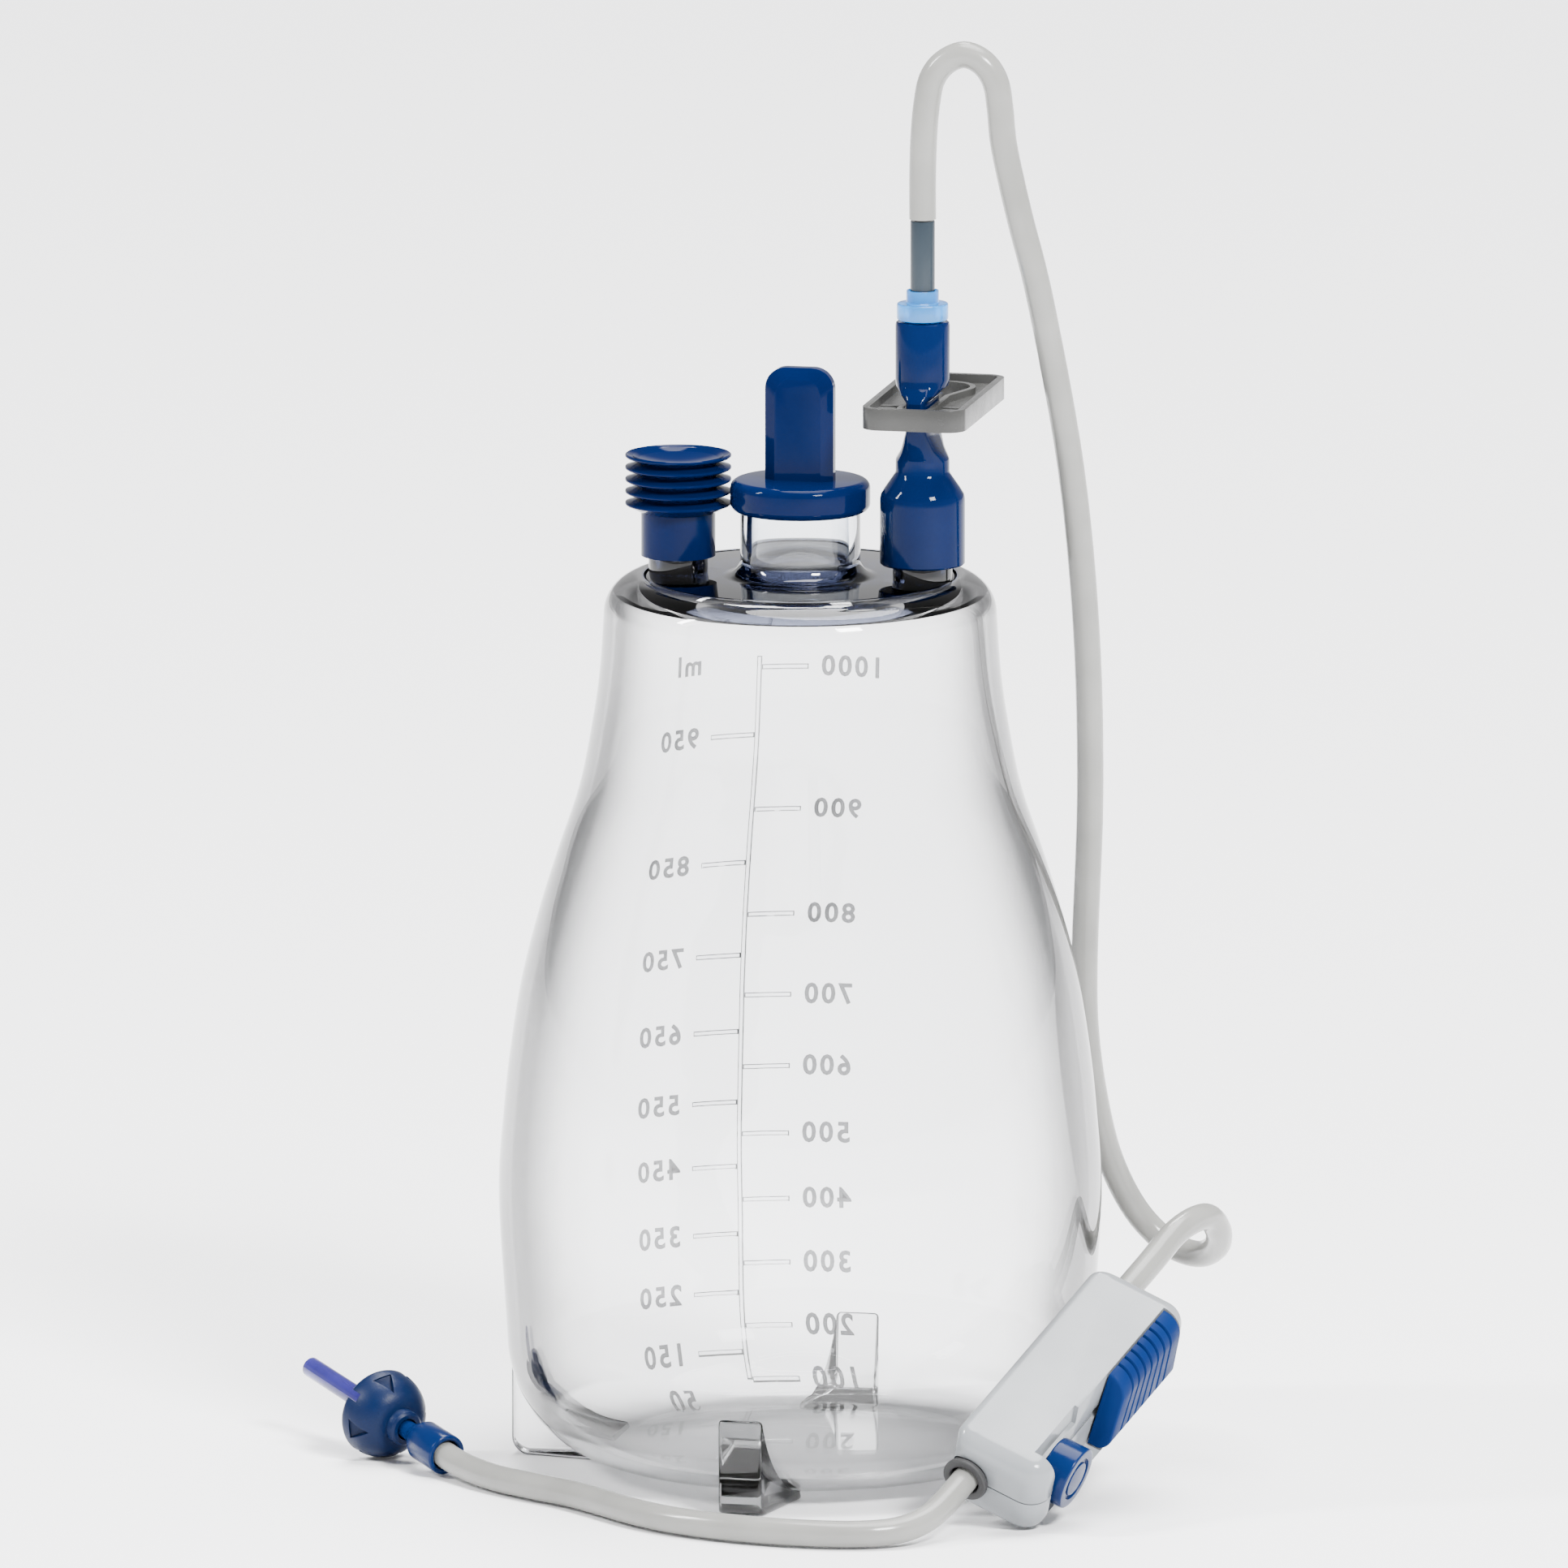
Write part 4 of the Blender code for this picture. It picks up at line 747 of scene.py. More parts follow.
def bridged(bm, low, high):
    """The faces between two rings, one of which may be a single point."""
    count = max(len(low), len(high))
    faces = []
    for k in range(count if count > 1 else 0):
        n = (k + 1) % count
        if len(low) == 1:
            corners = (low[0], high[n], high[k])
        elif len(high) == 1:
            corners = (low[k], low[n], high[0])
        else:
            corners = (low[k], low[n], high[n], high[k])
        faces.append(bm.faces.new(corners))
    return faces


def turned(name, profile, facets, sharp=32.0):
    """A closed turned body about Z."""
    bm = bmesh.new()
    rings = []
    for radius, height in profile:
        if radius < 1e-7:
            rings.append([bm.verts.new((0, 0, height))])
            continue
        turns = [2 * pi * k / facets for k in range(facets)]
        rings.append([bm.verts.new((radius * cos(t), radius * sin(t), height)) for t in turns])
    pairs = list(zip(rings, rings[1:]))
    if len(rings[0]) > 1:
        pairs.append((rings[-1], rings[0]))
    for low, high in pairs:
        bridged(bm, low, high)
    return object_from(name, bm, sharp)


def lofted(name, rings, sharp=32.0):
    """A closed skin over rings of equally many points, with a flat cap on its two ends."""
    bm = bmesh.new()
    rows = [[bm.verts.new(point) for point in ring] for ring in rings]
    for low, high in zip(rows, rows[1:]):
        bridged(bm, low, high)
    bm.faces.new(reversed(rows[0]))
    bm.faces.new(rows[-1])
    return object_from(name, bm, sharp)


def prism(name, outline, low, high):
    return lofted(name, [[(x, y, z) for x, y in outline] for z in (low, high)])


def block(low, high):
    outline = [(low[0], low[1]), (high[0], low[1]), (high[0], high[1]), (low[0], high[1])]
    return prism("block", outline, low[2], high[2])


def bevelled(item, width, segments=3, angle=35.0):
    edge = item.modifiers.new("edge", "BEVEL")
    with_settings(edge, width=width, segments=segments, harden_normals=False)
    with_settings(edge, limit_method="ANGLE", angle_limit=radians(angle))
    return item


def combined(item, joined=(), cut=()):
    """The piece with the first tools joined to it, and then the others cut from it."""
    for tool in (*joined, *cut):
        modifier = item.modifiers.new("combine", "BOOLEAN")
        modifier.operation = "UNION" if tool in joined else "DIFFERENCE"
        with_settings(modifier, solver="EXACT", material_mode="TRANSFER", object=tool)
        tool.hide_render = True
    return item


def settled(item, sharp=32.0):
    """The piece with its modifiers applied and their tools removed."""
    bpy.context.view_layer.update()
    graph = bpy.context.evaluated_depsgraph_get()
    mesh = bpy.data.meshes.new_from_object(item.evaluated_get(graph))
    tools = [m.object for m in item.modifiers if m.type == "BOOLEAN"]
    item.modifiers.clear()
    item.data = mesh
    for tool in tools:
        bpy.data.objects.remove(tool, do_unlink=True)
    mesh.shade_smooth()
    mesh.set_sharp_from_angle(angle=radians(sharp))
    return item


def placed(item, matrix):
    """The piece with this placement put into its mesh."""
    item.data.transform(matrix)
    return item


def dressed(item, node, material, place=None, body="bottle"):
    """The piece in its place. It stands for that CAD node, moves with that body and has this finish."""
    if place:
        item.data.transform(place)
    item.data.materials.clear()
    item.data.materials.append(material)
    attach(item, body)
    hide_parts(node)


# Bottle


def heel_profile(steps):
    squash = HEEL_HEIGHT / (HEEL_RADIUS - HEEL_FLAT_RADIUS)
    return arc((HEEL_FLAT_RADIUS, HEEL_TOP), HEEL_RADIUS - HEEL_FLAT_RADIUS, -90, 0, steps, squash)


def wall_profile():
    """The outer wall from the base's flat to the start of the shoulder."""
    rise = SHOULDER_CENTRE[1] - HEEL_TOP
    through = [(HEEL_RADIUS, HEEL_TOP)]
    through += [(share * BODY_RADIUS, HEEL_TOP + height * rise) for height, share in FLANK]
    through += [(SHOULDER_RADIUS, SHOULDER_CENTRE[1])]
    return [*heel_profile(20), *flat(through, 6)[1:]]


WALL = wall_profile()


def wall_radius(height):
    for (r0, z0), (r1, z1) in zip(WALL, WALL[1:]):
        if z0 <= height <= z1:
            return r0 + (r1 - r0) * (height - z0) / max(z1 - z0, 1e-9)
    return WALL[-1][0]


def body_profile():
    """The wall keeps its thickness up to the shoulder, where a thin ledge carries the port plate."""
    outer = [*WALL[:-1], *arc(SHOULDER_CENTRE, SHOULDER_FILLET, 0, 90, 18)]
    ceiling = LEDGE_HEIGHT - LEDGE_THICKNESS
    inner_fillet = SHOULDER_FILLET - BODY_WALL
    under_ledge = degrees(asin((ceiling - SHOULDER_CENTRE[1]) / inner_fillet))
    wall = inset(WALL, BODY_WALL)
    return [
        (0, BODY_BASE_CLEARANCE),
        *outer,
        (MOUTH_RADIUS, BODY_HEIGHT),
        (MOUTH_RADIUS, LEDGE_HEIGHT),
        (MOUTH_RADIUS - LEDGE_WIDTH, LEDGE_HEIGHT),
        (MOUTH_RADIUS - LEDGE_WIDTH, ceiling),
        *arc(SHOULDER_CENTRE, inner_fillet, under_ledge, 0, 8),
        *reversed(wall[:-1]),
        (0, BODY_BASE_CLEARANCE + BODY_WALL),
    ]


def foot_profile():
    heel = inset(heel_profile(20), BODY_WALL / 2)
    seat = [p for p in reversed(heel) if FOOT_ROOT_RADIUS < p[0] and p[1] < FOOT_HEIGHT]
    corner = arc((FOOT_REACH - FOOT_CORNER, FOOT_CORNER), FOOT_CORNER, 0, -90, 10)
    return [*seat, (FOOT_ROOT_RADIUS, 0), *reversed(corner), (FOOT_REACH, FOOT_HEIGHT)]


def make_feet():
    feet = []
    for number in range(4):
        turn = Matrix.Rotation(number * pi / 2, 4, "Z")
        rings = []
        for side in (-0.5, 0.5):
            ring = []
            for radius, height in foot_profile():
                share = (FOOT_REACH - radius) / (FOOT_REACH - FOOT_ROOT_RADIUS)
                width = FOOT_TIP_WIDTH + share * (FOOT_ROOT_WIDTH - FOOT_TIP_WIDTH)
                ring.append(turn @ Vector((radius, side * width, height)))
            rings.append(ring)
        foot = bevelled(lofted(f"foot_{number}", rings), FOOT_EDGE, 3, 50.0)
        foot.data.materials.append(FOOT_CLEAR)
        feet.append(foot)
    return feet


def make_bottle():
    body = turned("bottle_shell", body_profile(), BODY_FACETS)
    body.data.materials.append(CLEAR)
    settled(combined(body, make_feet()), 40.0)
    body.data.materials.append(PLATE_CLEAR)
    seam = len(body.data.materials) - 1
    for face in body.data.polygons:
        inside = face.center.xy.length < MOUTH_RADIUS + MOUTH_LIP
        if inside and face.center.z > LEDGE_HEIGHT - 1.5 * LEDGE_THICKNESS:
            face.material_index = seam
    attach(body, "bottle")
    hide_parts("bottle_body")


def on_wall(across, height, proud):
    """A point on the bottle's outside, this far right of the scale line as seen from behind."""
    radius = wall_radius(height)
    angle = SCALE_ANGLE + across / radius
    reach = radius + proud
    return Vector((reach * cos(angle), reach * sin(angle), height))


def relief_bar(bm, left, right, low, high):
    """A raised bar with sloping sides between two distances across and two heights."""
    steps = max(2, int((high - low) / RELIEF_STEP), int((right - left) / RELIEF_STEP))
    rows = []
    tall = (high - low) > (right - left)
    start, end, near, far = (low, high, left, right) if tall else (left, right, low, high)
    for step in range(steps + 1):
        t = step / steps
        foot = start + (end - start) * t
        top = min(max(foot, start + RELIEF_SLOPE), end - RELIEF_SLOPE)
        rise = ((near, foot, SKIN), (near + RELIEF_SLOPE, top, RELIEF))
        fall = ((far - RELIEF_SLOPE, top, RELIEF), (far, foot, SKIN))
        row = [(a, b, proud) if tall else (b, a, proud) for a, b, proud in (*rise, *fall)]
        rows.append([bm.verts.new(on_wall(*corner)) for corner in row])
    # Material 1 is the painted shade on the bar's sloping sides and ends
    for first, second in zip(rows, rows[1:]):
        for k, face in enumerate(bridged(bm, first, second)):
            face.material_index = 1 - k % 2
    for row in (rows[0], list(reversed(rows[-1]))):
        bm.faces.new(row).material_index = 1


def relief_text(bm, words, across, height, align):
    """Raised figures with sloping sides, upright for someone behind the bottle."""
    curve = bpy.data.curves.new("figures", "FONT")
    with_settings(curve, body=words, size=NUMERAL_SIZE, space_character=NUMERAL_SPACING)
    with_settings(curve, align_x=align, align_y="CENTER", offset=NUMERAL_WEIGHT, resolution_u=3)
    with_settings(curve, bevel_depth=RELIEF_SLOPE / 2, bevel_resolution=0, fill_mode="BOTH")
    figures = shown("figures", curve)
    bpy.context.view_layer.update()
    mesh = figures.evaluated_get(bpy.context.evaluated_depsgraph_get()).to_mesh()
    middle = (RELIEF + SKIN) / 2
    places = [(across + v.co.x, height + v.co.y, middle + v.co.z) for v in mesh.vertices]
    made = [bm.verts.new(on_wall(*place)) for place in places]
    # The figures carry the painted shade all over
    for polygon in mesh.polygons:
        bm.faces.new([made[i] for i in polygon.vertices]).material_index = 1
    bmesh.ops.remove_doubles(bm, verts=made, dist=0.000001)
    bpy.data.objects.remove(figures, do_unlink=True)
    bpy.data.curves.remove(curve)


def make_graduations():
    bm = bmesh.new()
    lowest, highest = MARKS[1][1], MARKS[-1][1]
    relief_bar(bm, -STROKE / 2, STROKE / 2, lowest, highest + SCALE_OVERRUN)
    for amount, height in MARKS:
        if amount % 100 == 0:
            left, right = -TICK_LENGTH, -STROKE / 2
        else:
            left, right = STROKE / 2, TICK_LENGTH
        if amount > 50:
            relief_bar(bm, left, right, height - STROKE / 2, height + STROKE / 2)
        side = -1 if amount % 100 == 0 else 1
        relief_text(bm, str(amount), side * NUMERAL_OFFSET, height, "RIGHT" if side < 0 else "LEFT")
    relief_text(bm, "ml", NUMERAL_OFFSET, highest + UNIT_RAISE, "LEFT")
    scale = object_from("graduations", bm, 20.0)
    scale.data.materials.append(RELIEF_CLEAR)
    scale.data.materials.append(RELIEF_SHADE)
    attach(scale, "bottle")


# Port plate and what is on it


def make_port_plate():
    neck = NECK_RADIUS + NECK_FILLET
    profile = [
        (NECK_BORE, PLATE_BOTTOM),
        (PLATE_RADIUS, PLATE_BOTTOM),
        (PLATE_RADIUS, BODY_HEIGHT),
        *reversed(arc((neck, BODY_HEIGHT + NECK_FILLET), NECK_FILLET, 180, 270, 10)),
        (NECK_RADIUS, NECK_TOP),
        (NECK_BORE, NECK_TOP),
    ]
    plate = turned("top_plate", softened(profile, PLATE_EDGE, 4), BODY_FACETS)
    root = PLATE_BOTTOM + SPIGOT_ROOT
    outline = stepped(0, root, SPIGOT_COLLAR_RADIUS, SPIGOT_COLLAR_TOP, SPIGOT_RADIUS, SPIGOT_TOP, 0)
    bore = stepped(0, PLATE_BOTTOM - DRILL_SPARE, SPIGOT_BORE, SPIGOT_TOP + DRILL_SPARE, 0)
    spigots = []
    drills = []
    for side in (-1, 1):
        place = {"location": (side * PORT_OFFSET, 0, 0)}
        spigot = turned("spigot", softened(outline, SPIGOT_EDGE), PORT_FACETS)
        spigots.append(with_settings(spigot, rotation_euler=(0, 0, pi / PORT_FACETS), **place))
        bit = turned("bit", bore, SMALL_FACETS)
        drills.append(with_settings(bit, rotation_euler=(0, 0, DRILL_TURN), **place))
    settled(combined(plate, spigots, drills))
    dressed(plate, "port_plate", PLATE_CLEAR)


def make_bellows():
    stem_top = SEAT_TOP + STEM_HEIGHT
    first = stem_top + BELLOWS_PITCH * 0.75
    outer = [(SOCKET_RADIUS, SEAT_TOP), (STEM_RADIUS, SEAT_TOP), (STEM_RADIUS, stem_top)]
    inner = []
    for ridge in range(BELLOWS_RIDGES):
        height = first + ridge * BELLOWS_PITCH
        outer += arc((BELLOWS_RADIUS - BELLOWS_RIDGE_EDGE, height), BELLOWS_RIDGE_EDGE, -80, 80, 4)
        inner.append((BELLOWS_RADIUS - 1.6 * BELLOWS_WALL, height))
        if ridge < BELLOWS_RIDGES - 1:
            valley = height + BELLOWS_PITCH * 0.5
            outer += [(BELLOWS_VALLEY_RADIUS + x, valley + z) for x, z in BELLOWS_CREASE]
            inner.append((BELLOWS_VALLEY_RADIUS - BELLOWS_WALL, valley))
    rim = outer[-1][1]
    dish = [
        (BELLOWS_RADIUS * share, rim - BELLOWS_DISH_DEPTH * (1 - share**2))
        for share in BELLOWS_DISH_STOPS
    ]
    under = [(0.0, dish[-1][1] - BELLOWS_WALL), (BELLOWS_RADIUS * 0.45, dish[4][1] - BELLOWS_WALL)]
    profile = [*outer, *dish, *under, *reversed([(SOCKET_RADIUS, SOCKET_TOP), *inner])]
    bellows = turned("bellows", profile, PORT_FACETS)
    dressed(bellows, "vacuum_bellows", RUBBER, shift(-PORT_OFFSET))


def tab_outline():
    half = TAB_WIDTH / 2
    height = TAB_TOP - CAP_BOTTOM - CAP_HEIGHT
    corner = arc((half - TAB_CORNER, height - TAB_CORNER), TAB_CORNER, 0, 90, 14)
    right = [(half, -TAB_ROOT), *corner]
    return [*right, *[(-x, z) for x, z in reversed(right)]], height


def make_cap():
    skirt = NECK_RADIUS + TOUCH_GAP
    plug = NECK_BORE - TOUCH_GAP
    top = CAP_HEIGHT
    seat = top - CAP_ROOF
    radius = CAP_RADIUS - CAP_EDGE
    profile = [
        *stepped(0, seat, plug - CAP_PLUG_WALL, CAP_EDGE / 2, plug, seat, skirt, 0),
        *arc((radius, CAP_EDGE), CAP_EDGE, -90, 0, 10),
        *arc((radius, top - CAP_EDGE), CAP_EDGE, 0, 90, 10),
        (0, top),
    ]
    cap = turned("cap", profile, DISC_FACETS)
    outline, height = tab_outline()
    half = TAB_THICKNESS / 2
    flank = half - TAB_BEVEL_DEPTH
    slices = [(-half, TAB_BEVEL), (-flank, 0.0), (flank, 0.0), (half, TAB_BEVEL)]
    rows = []
    for depth, shrink in slices:
        row = []
        for x, z in outline:
            squeeze = 1 - shrink / (TAB_WIDTH / 2)
            row.append((x * squeeze, depth, CAP_HEIGHT + (z if z < 0 else z * (1 - shrink / height))))
        rows.append(row)
    tab = bevelled(lofted("tab", rows), TAB_EDGE, 1, 30.0)
    settled(combined(cap, [tab]), 20.0)
    dressed(cap, "neck_cap", RUBBER, shift(z=CAP_BOTTOM), "cap")


def sleeve_sections():
    """The sleeve's outer sections from top to bottom: height, two half-widths and squareness."""
    width, depth, square = WAIST_HALF_WIDTH, WAIST_HALF_DEPTH, WAIST_SQUARENESS
    top, neck, radius = SLEEVE_TOP_RADIUS, SLEEVE_NECK_RADIUS, SLEEVE_RADIUS
    step = radius - neck
    upper = [
        (SLEEVE_TOP, top * 0.92),
        (SLEEVE_TOP - 0.0002, top * 0.975),
        (SLEEVE_TOP - 0.0006, top),
        (WAIST_TOP + 0.0037, top),
    ]
    pinched = [
        (WAIST_TOP + 0.0034, top * 0.995, top, 2.0),
        (WAIST_TOP + 0.0024, top * 0.94, top * 1.04, 2.3),
        (WAIST_TOP + 0.0012, (top + width) / 2, (top + depth * 2) / 3, 3.0),
        (WAIST_TOP, width, depth, square),
        (WAIST_BOTTOM, width, depth, square),
        (WAIST_BOTTOM - 0.0014, width * 1.20, depth * 0.98, square),
        (WAIST_BOTTOM - 0.0040, (neck + width) / 2, (neck + depth) / 2, 3.0),
        (SLEEVE_NECK + 0.0026, neck * 0.98, neck, 2.1),
    ]
    lower = [
        (SLEEVE_NECK + 0.0022, neck),
        (SLEEVE_NECK + 0.0003, neck),
        (SLEEVE_NECK - 0.0001, neck * 1.02),
        (SLEEVE_NECK - 0.0009, neck + step * 0.22),
        (SLEEVE_SHOULDER + 0.0022, radius - step * 0.36),
        (SLEEVE_SHOULDER + 0.0010, radius - step * 0.08),
        (SLEEVE_SHOULDER + 0.0002, radius - step * 0.01),
        (SLEEVE_SHOULDER - 0.0006, radius),
        (SLEEVE_BOTTOM + 0.0003, radius),
        (SLEEVE_BOTTOM, radius - 0.0003),
    ]
    return [*round_sections(upper), *pinched, *round_sections(lower)]


def round_sections(places):
    return [(height, radius, radius, 2.0) for height, radius in places]


def sleeve_ring(height, half_width, half_depth, squareness=2.0):
    """One section: an ellipse at squareness 2, with flatter sides as it grows."""
    ring = []
    for k in range(PORT_FACETS):
        angle = 2 * pi * k / PORT_FACETS
        across, along = cos(angle), sin(angle)
        x = copysign(abs(across) ** (2 / squareness), across)
        y = copysign(abs(along) ** (2 / squareness), along)
        ring.append((half_width * x, half_depth * y, height))
    return ring


def make_sleeve():
    socket = COLLAR_SPIGOT_RADIUS + TOUCH_GAP
    pinch = WAIST_HALF_DEPTH * 0.72
    slack = WAIST_HALF_WIDTH * 0.25
    upper_bore = [
        (WAIST_TOP + 0.0002, slack, pinch),
        (WAIST_TOP + 0.0028, socket * 0.6, socket * 1.2),
        (WAIST_TOP + 0.0052, socket, socket),
        (SLEEVE_TOP, socket, socket),
    ]
    lower_bore = [
        (SLEEVE_BOTTOM, SOCKET_RADIUS, SOCKET_RADIUS),
        (SOCKET_TOP, SOCKET_RADIUS, SOCKET_RADIUS),
        (SLEEVE_SHOULDER, SOCKET_RADIUS * 0.86, SOCKET_RADIUS * 0.86),
        (SLEEVE_NECK, SLEEVE_NECK_RADIUS * 0.62, SLEEVE_NECK_RADIUS * 0.62),
        (WAIST_BOTTOM - 0.0044, SLEEVE_NECK_RADIUS * 0.4, SLEEVE_NECK_RADIUS * 0.7),
        (WAIST_BOTTOM - 0.0008, slack, pinch),
    ]
    rings = [sleeve_ring(*section) for section in [*upper_bore, *sleeve_sections(), *lower_bore]]
    sleeve = lofted("sleeve", rings, 24.0)
    dressed(sleeve, "port_sleeve", SILICONE, shift(PORT_OFFSET))


def keyhole(grow=0.0):
    slot = WAIST_HALF_WIDTH + TOUCH_GAP + grow
    radius = KEYHOLE_RADIUS + grow
    front = WAIST_HALF_DEPTH + TOUCH_GAP - WAIST_HALF_WIDTH / 2
    nose = arc((0, -front), slot, 180, 360, 16)
    lead = degrees(asin((radius - slot) / KEYHOLE_OFFSET))
    hole = arc((0, KEYHOLE_OFFSET), radius, -lead - 12, 180 + lead + 12, 40)
    return [*nose, (slot, KEYHOLE_TAPER_START), *hole, (-slot, KEYHOLE_TAPER_START)]


def rounded_plan(low, high, corner, steps=8):
    outline = []
    for x, y, start in (
        (high[0] - corner, low[1] + corner, -90),
        (high[0] - corner, high[1] - corner, 0),
        (low[0] + corner, high[1] - corner, 90),
        (low[0] + corner, low[1] + corner, 180),
    ):
        outline += arc((x, y), corner, start, start + 90, steps)
    return outline


def make_slide_clamp():
    half = (CLAMP_HIGH.x - CLAMP_LOW.x) / 2
    low, high = (-half, CLAMP_LOW.y), (half, CLAMP_HIGH.y)
    thickness = CLAMP_HIGH.z - CLAMP_LOW.z
    rim = CLAMP_PLATE_RIM
    floor = thickness - CLAMP_PLATE_RECESS
    clamp = prism("clamp_plate", rounded_plan(low, high, CLAMP_PLATE_CORNER), 0, thickness)
    pocket_low = (low[0] + rim, low[1] + rim)
    pocket_high = (high[0] - rim, high[1] - rim)
    pocket_plan = rounded_plan(pocket_low, pocket_high, CLAMP_PLATE_CORNER / 2, 5)
    pocket = prism("pocket", pocket_plan, floor, thickness + rim)
    combined(clamp, cut=[pocket])
    joined = [prism("keyhole_rim", keyhole(KEYHOLE_RIM), floor / 2, thickness - TOUCH_GAP)]
    for side in (-1, 1):
        for bar in range(GRIP_BARS):
            start = CLAMP_LOW.y + rim * 2 + bar * GRIP_BAR_PITCH
            x = sorted((side * (WAIST_HALF_WIDTH + KEYHOLE_RIM * 1.9), side * (half - rim * 1.7)))
            grip_high = (x[1], start + GRIP_BAR_WIDTH, floor + GRIP_BAR_HEIGHT)
            joined.append(block((x[0], start, floor / 2), grip_high))
    combined(clamp, joined, [prism("keyhole", keyhole(), -rim, thickness + rim)])
    settled(bevelled(clamp, FINE_EDGE, 2, 40.0), 30.0)
    place = shift(PORT_OFFSET, z=CLAMP_LOW.z)
    dressed(clamp, "slide_clamp", CLAMP_GREY, place, "clamp_plate")


def make_collar_and_insert():
    flange_top = COLLAR_SEAT + COLLAR_FLANGE_HEIGHT
    collar_top = flange_top + COLLAR_NECK_HEIGHT
    bore = INSERT_RADIUS - INSERT_WALL
    socket = INSERT_RADIUS + TOUCH_GAP
    seat, bottom = COLLAR_SEAT, COLLAR_SEAT - COLLAR_SPIGOT_LENGTH
    outside = (COLLAR_SPIGOT_RADIUS, seat, COLLAR_FLANGE_RADIUS, flange_top, COLLAR_NECK_RADIUS)
    profile = stepped(bore, bottom, *outside, collar_top, socket, seat, bore)
    collar = turned("collar", softened(profile, COLLAR_EDGE), PORT_FACETS)
    dressed(collar, "tube_collar", PALE_BLUE, shift(PORT_OFFSET))
    pipe = stepped(bore, COLLAR_SEAT + TOUCH_GAP, INSERT_RADIUS, INSERT_TOP, bore)
    insert = turned("insert", softened(pipe, INSERT_EDGE), SMALL_FACETS)
    dressed(insert, "tube_insert", INSERT_GREY, shift(PORT_OFFSET))


# Flow clamp


def flow_clamp_matrix():
    heading = Matrix.Rotation(CASE_HEADING, 4, "Z")
    pitch = Matrix.Rotation(CASE_PITCH, 4, "Y")
    roll = Matrix.Rotation(-CASE_ROLL, 4, "X")
    return shift(*CASE_CENTRE) @ heading @ pitch @ roll


def about_x(y):
    return shift(y=y) @ Matrix.Rotation(pi / 2, 4, "Y")


def about_y(x):
    return shift(x) @ Matrix.Rotation(-pi / 2, 4, "X")


def drill(radius, low, high, matrix):
    return placed(turned("drill", stepped(0, low, radius, high, 0), SMALL_FACETS), matrix)


def shell_rings(side):
    """Rings from the seam to the broad face. The edge beside the tube is sharper than the others."""
    half = CASE_LENGTH / 2
    plan = rounded_plan((-half, -CASE_SIDE), (half, CASE_SIDE), CASE_CORNER, 10)
    rings = [[(x, y, side * TOUCH_GAP / 2) for x, y in plan]]
    count = len(plan)
    for step in range(11):
        turn = radians(90.0 * step / 10)
        ring = []
        for i, (x, y) in enumerate(plan):
            before, after = plan[i - 1], plan[(i + 1) % count]
            normal = Vector((after[1] - before[1], before[0] - after[0])).normalized()
            share = max(0.0, -normal.y) ** 2
            edge = CASE_EDGE + (CASE_BACK_EDGE - CASE_EDGE) * share
            shrink = edge * (1 - cos(turn))
            height = CASE_HALF_HEIGHT - edge * (1 - sin(turn))
            ring.append((x - normal.x * shrink, y - normal.y * shrink, side * height))
        rings.append(ring)
    return rings


def make_shell(name, node, side, matrix):
    shell = lofted(name, shell_rings(side))
    half = CASE_LENGTH / 2
    reach = 2 * CASE_SIDE
    wall = CASE_WALL
    slit_back = SLIDER_BACK + SLIDER_NECK_INSET - SLIDE_GAP
    slit_front = SLIDER_BACK + SLIDER_NECK_INSET + SLIDER_NECK_LENGTH + SLIDER_TRAVEL + SLIDE_GAP
    window_end = reach if side > 0 else WINDOW_SILL
    hollows = [
        ((-half + wall, -CASE_SIDE + wall), (half - wall, CAVITY_SIDE), CASE_HALF_HEIGHT - wall),
        ((WINDOW_BACK, WINDOW_FLOOR), (WINDOW_FRONT, reach), window_end),
        ((slit_back, CAVITY_SIDE - wall), (slit_front, WINDOW_FLOOR + wall), SLIT_HALF_HEIGHT),
    ]
    tools = []
    for low, high, end in hollows:
        z = sorted((-side * wall, side * end))
        tools.append(block((*low, z[0]), (*high, z[1])))
    tools += [
        drill(TUBE_BORE, -reach - half, 0, about_x(-TUBE_LANE)),
        drill(BUSH_HOLE, 0, reach + half, about_x(-TUBE_LANE)),
        drill(PIN_RADIUS + TOUCH_GAP, CAVITY_SIDE - wall, reach, about_y(WHEEL_AXIS)),
    ]
    if side > 0:
        step_low = (WINDOW_STEP, WINDOW_FLOOR - WINDOW_STEP_DEPTH, WINDOW_STEP_SILL)
        tools.append(block(step_low, (WINDOW_FRONT, reach, reach)))
    bevelled(combined(shell, cut=tools), FINE_EDGE, 2, 50.0)
    dressed(settled(shell, 30.0), node, SHELL_WHITE, matrix)


def make_bush(matrix):
    inside = CASE_LENGTH / 2 - CASE_WALL
    face = CASE_LENGTH / 2 + TOUCH_GAP
    flange = BUSH_RADIUS + BUSH_FLANGE
    profile = stepped(TUBE_BORE, inside, BUSH_RADIUS, face, flange, face + BUSH_FLANGE_LENGTH, TUBE_BORE)
    bush = turned("bush", softened(profile, BUSH_EDGE), SMALL_FACETS)
    dressed(bush, "front_bush", BUSH_DARK, matrix @ about_x(-TUBE_LANE))


def slider_outline(draw_in):
    inner = WINDOW_FLOOR + SLIDE_GAP
    side = CASE_SIDE + SLIDER_BULGE - draw_in
    top = CASE_HALF_HEIGHT - draw_in
    edge = side - inner
    sill = -WINDOW_SILL + SLIDE_GAP
    lower_edge = edge * 0.55
    upper = arc((inner, top - edge), edge, 90, 0, 16)
    lower = arc((side - lower_edge, sill + lower_edge), lower_edge, 0, -90, 10)
    return [*upper, *lower, (inner, sill)]


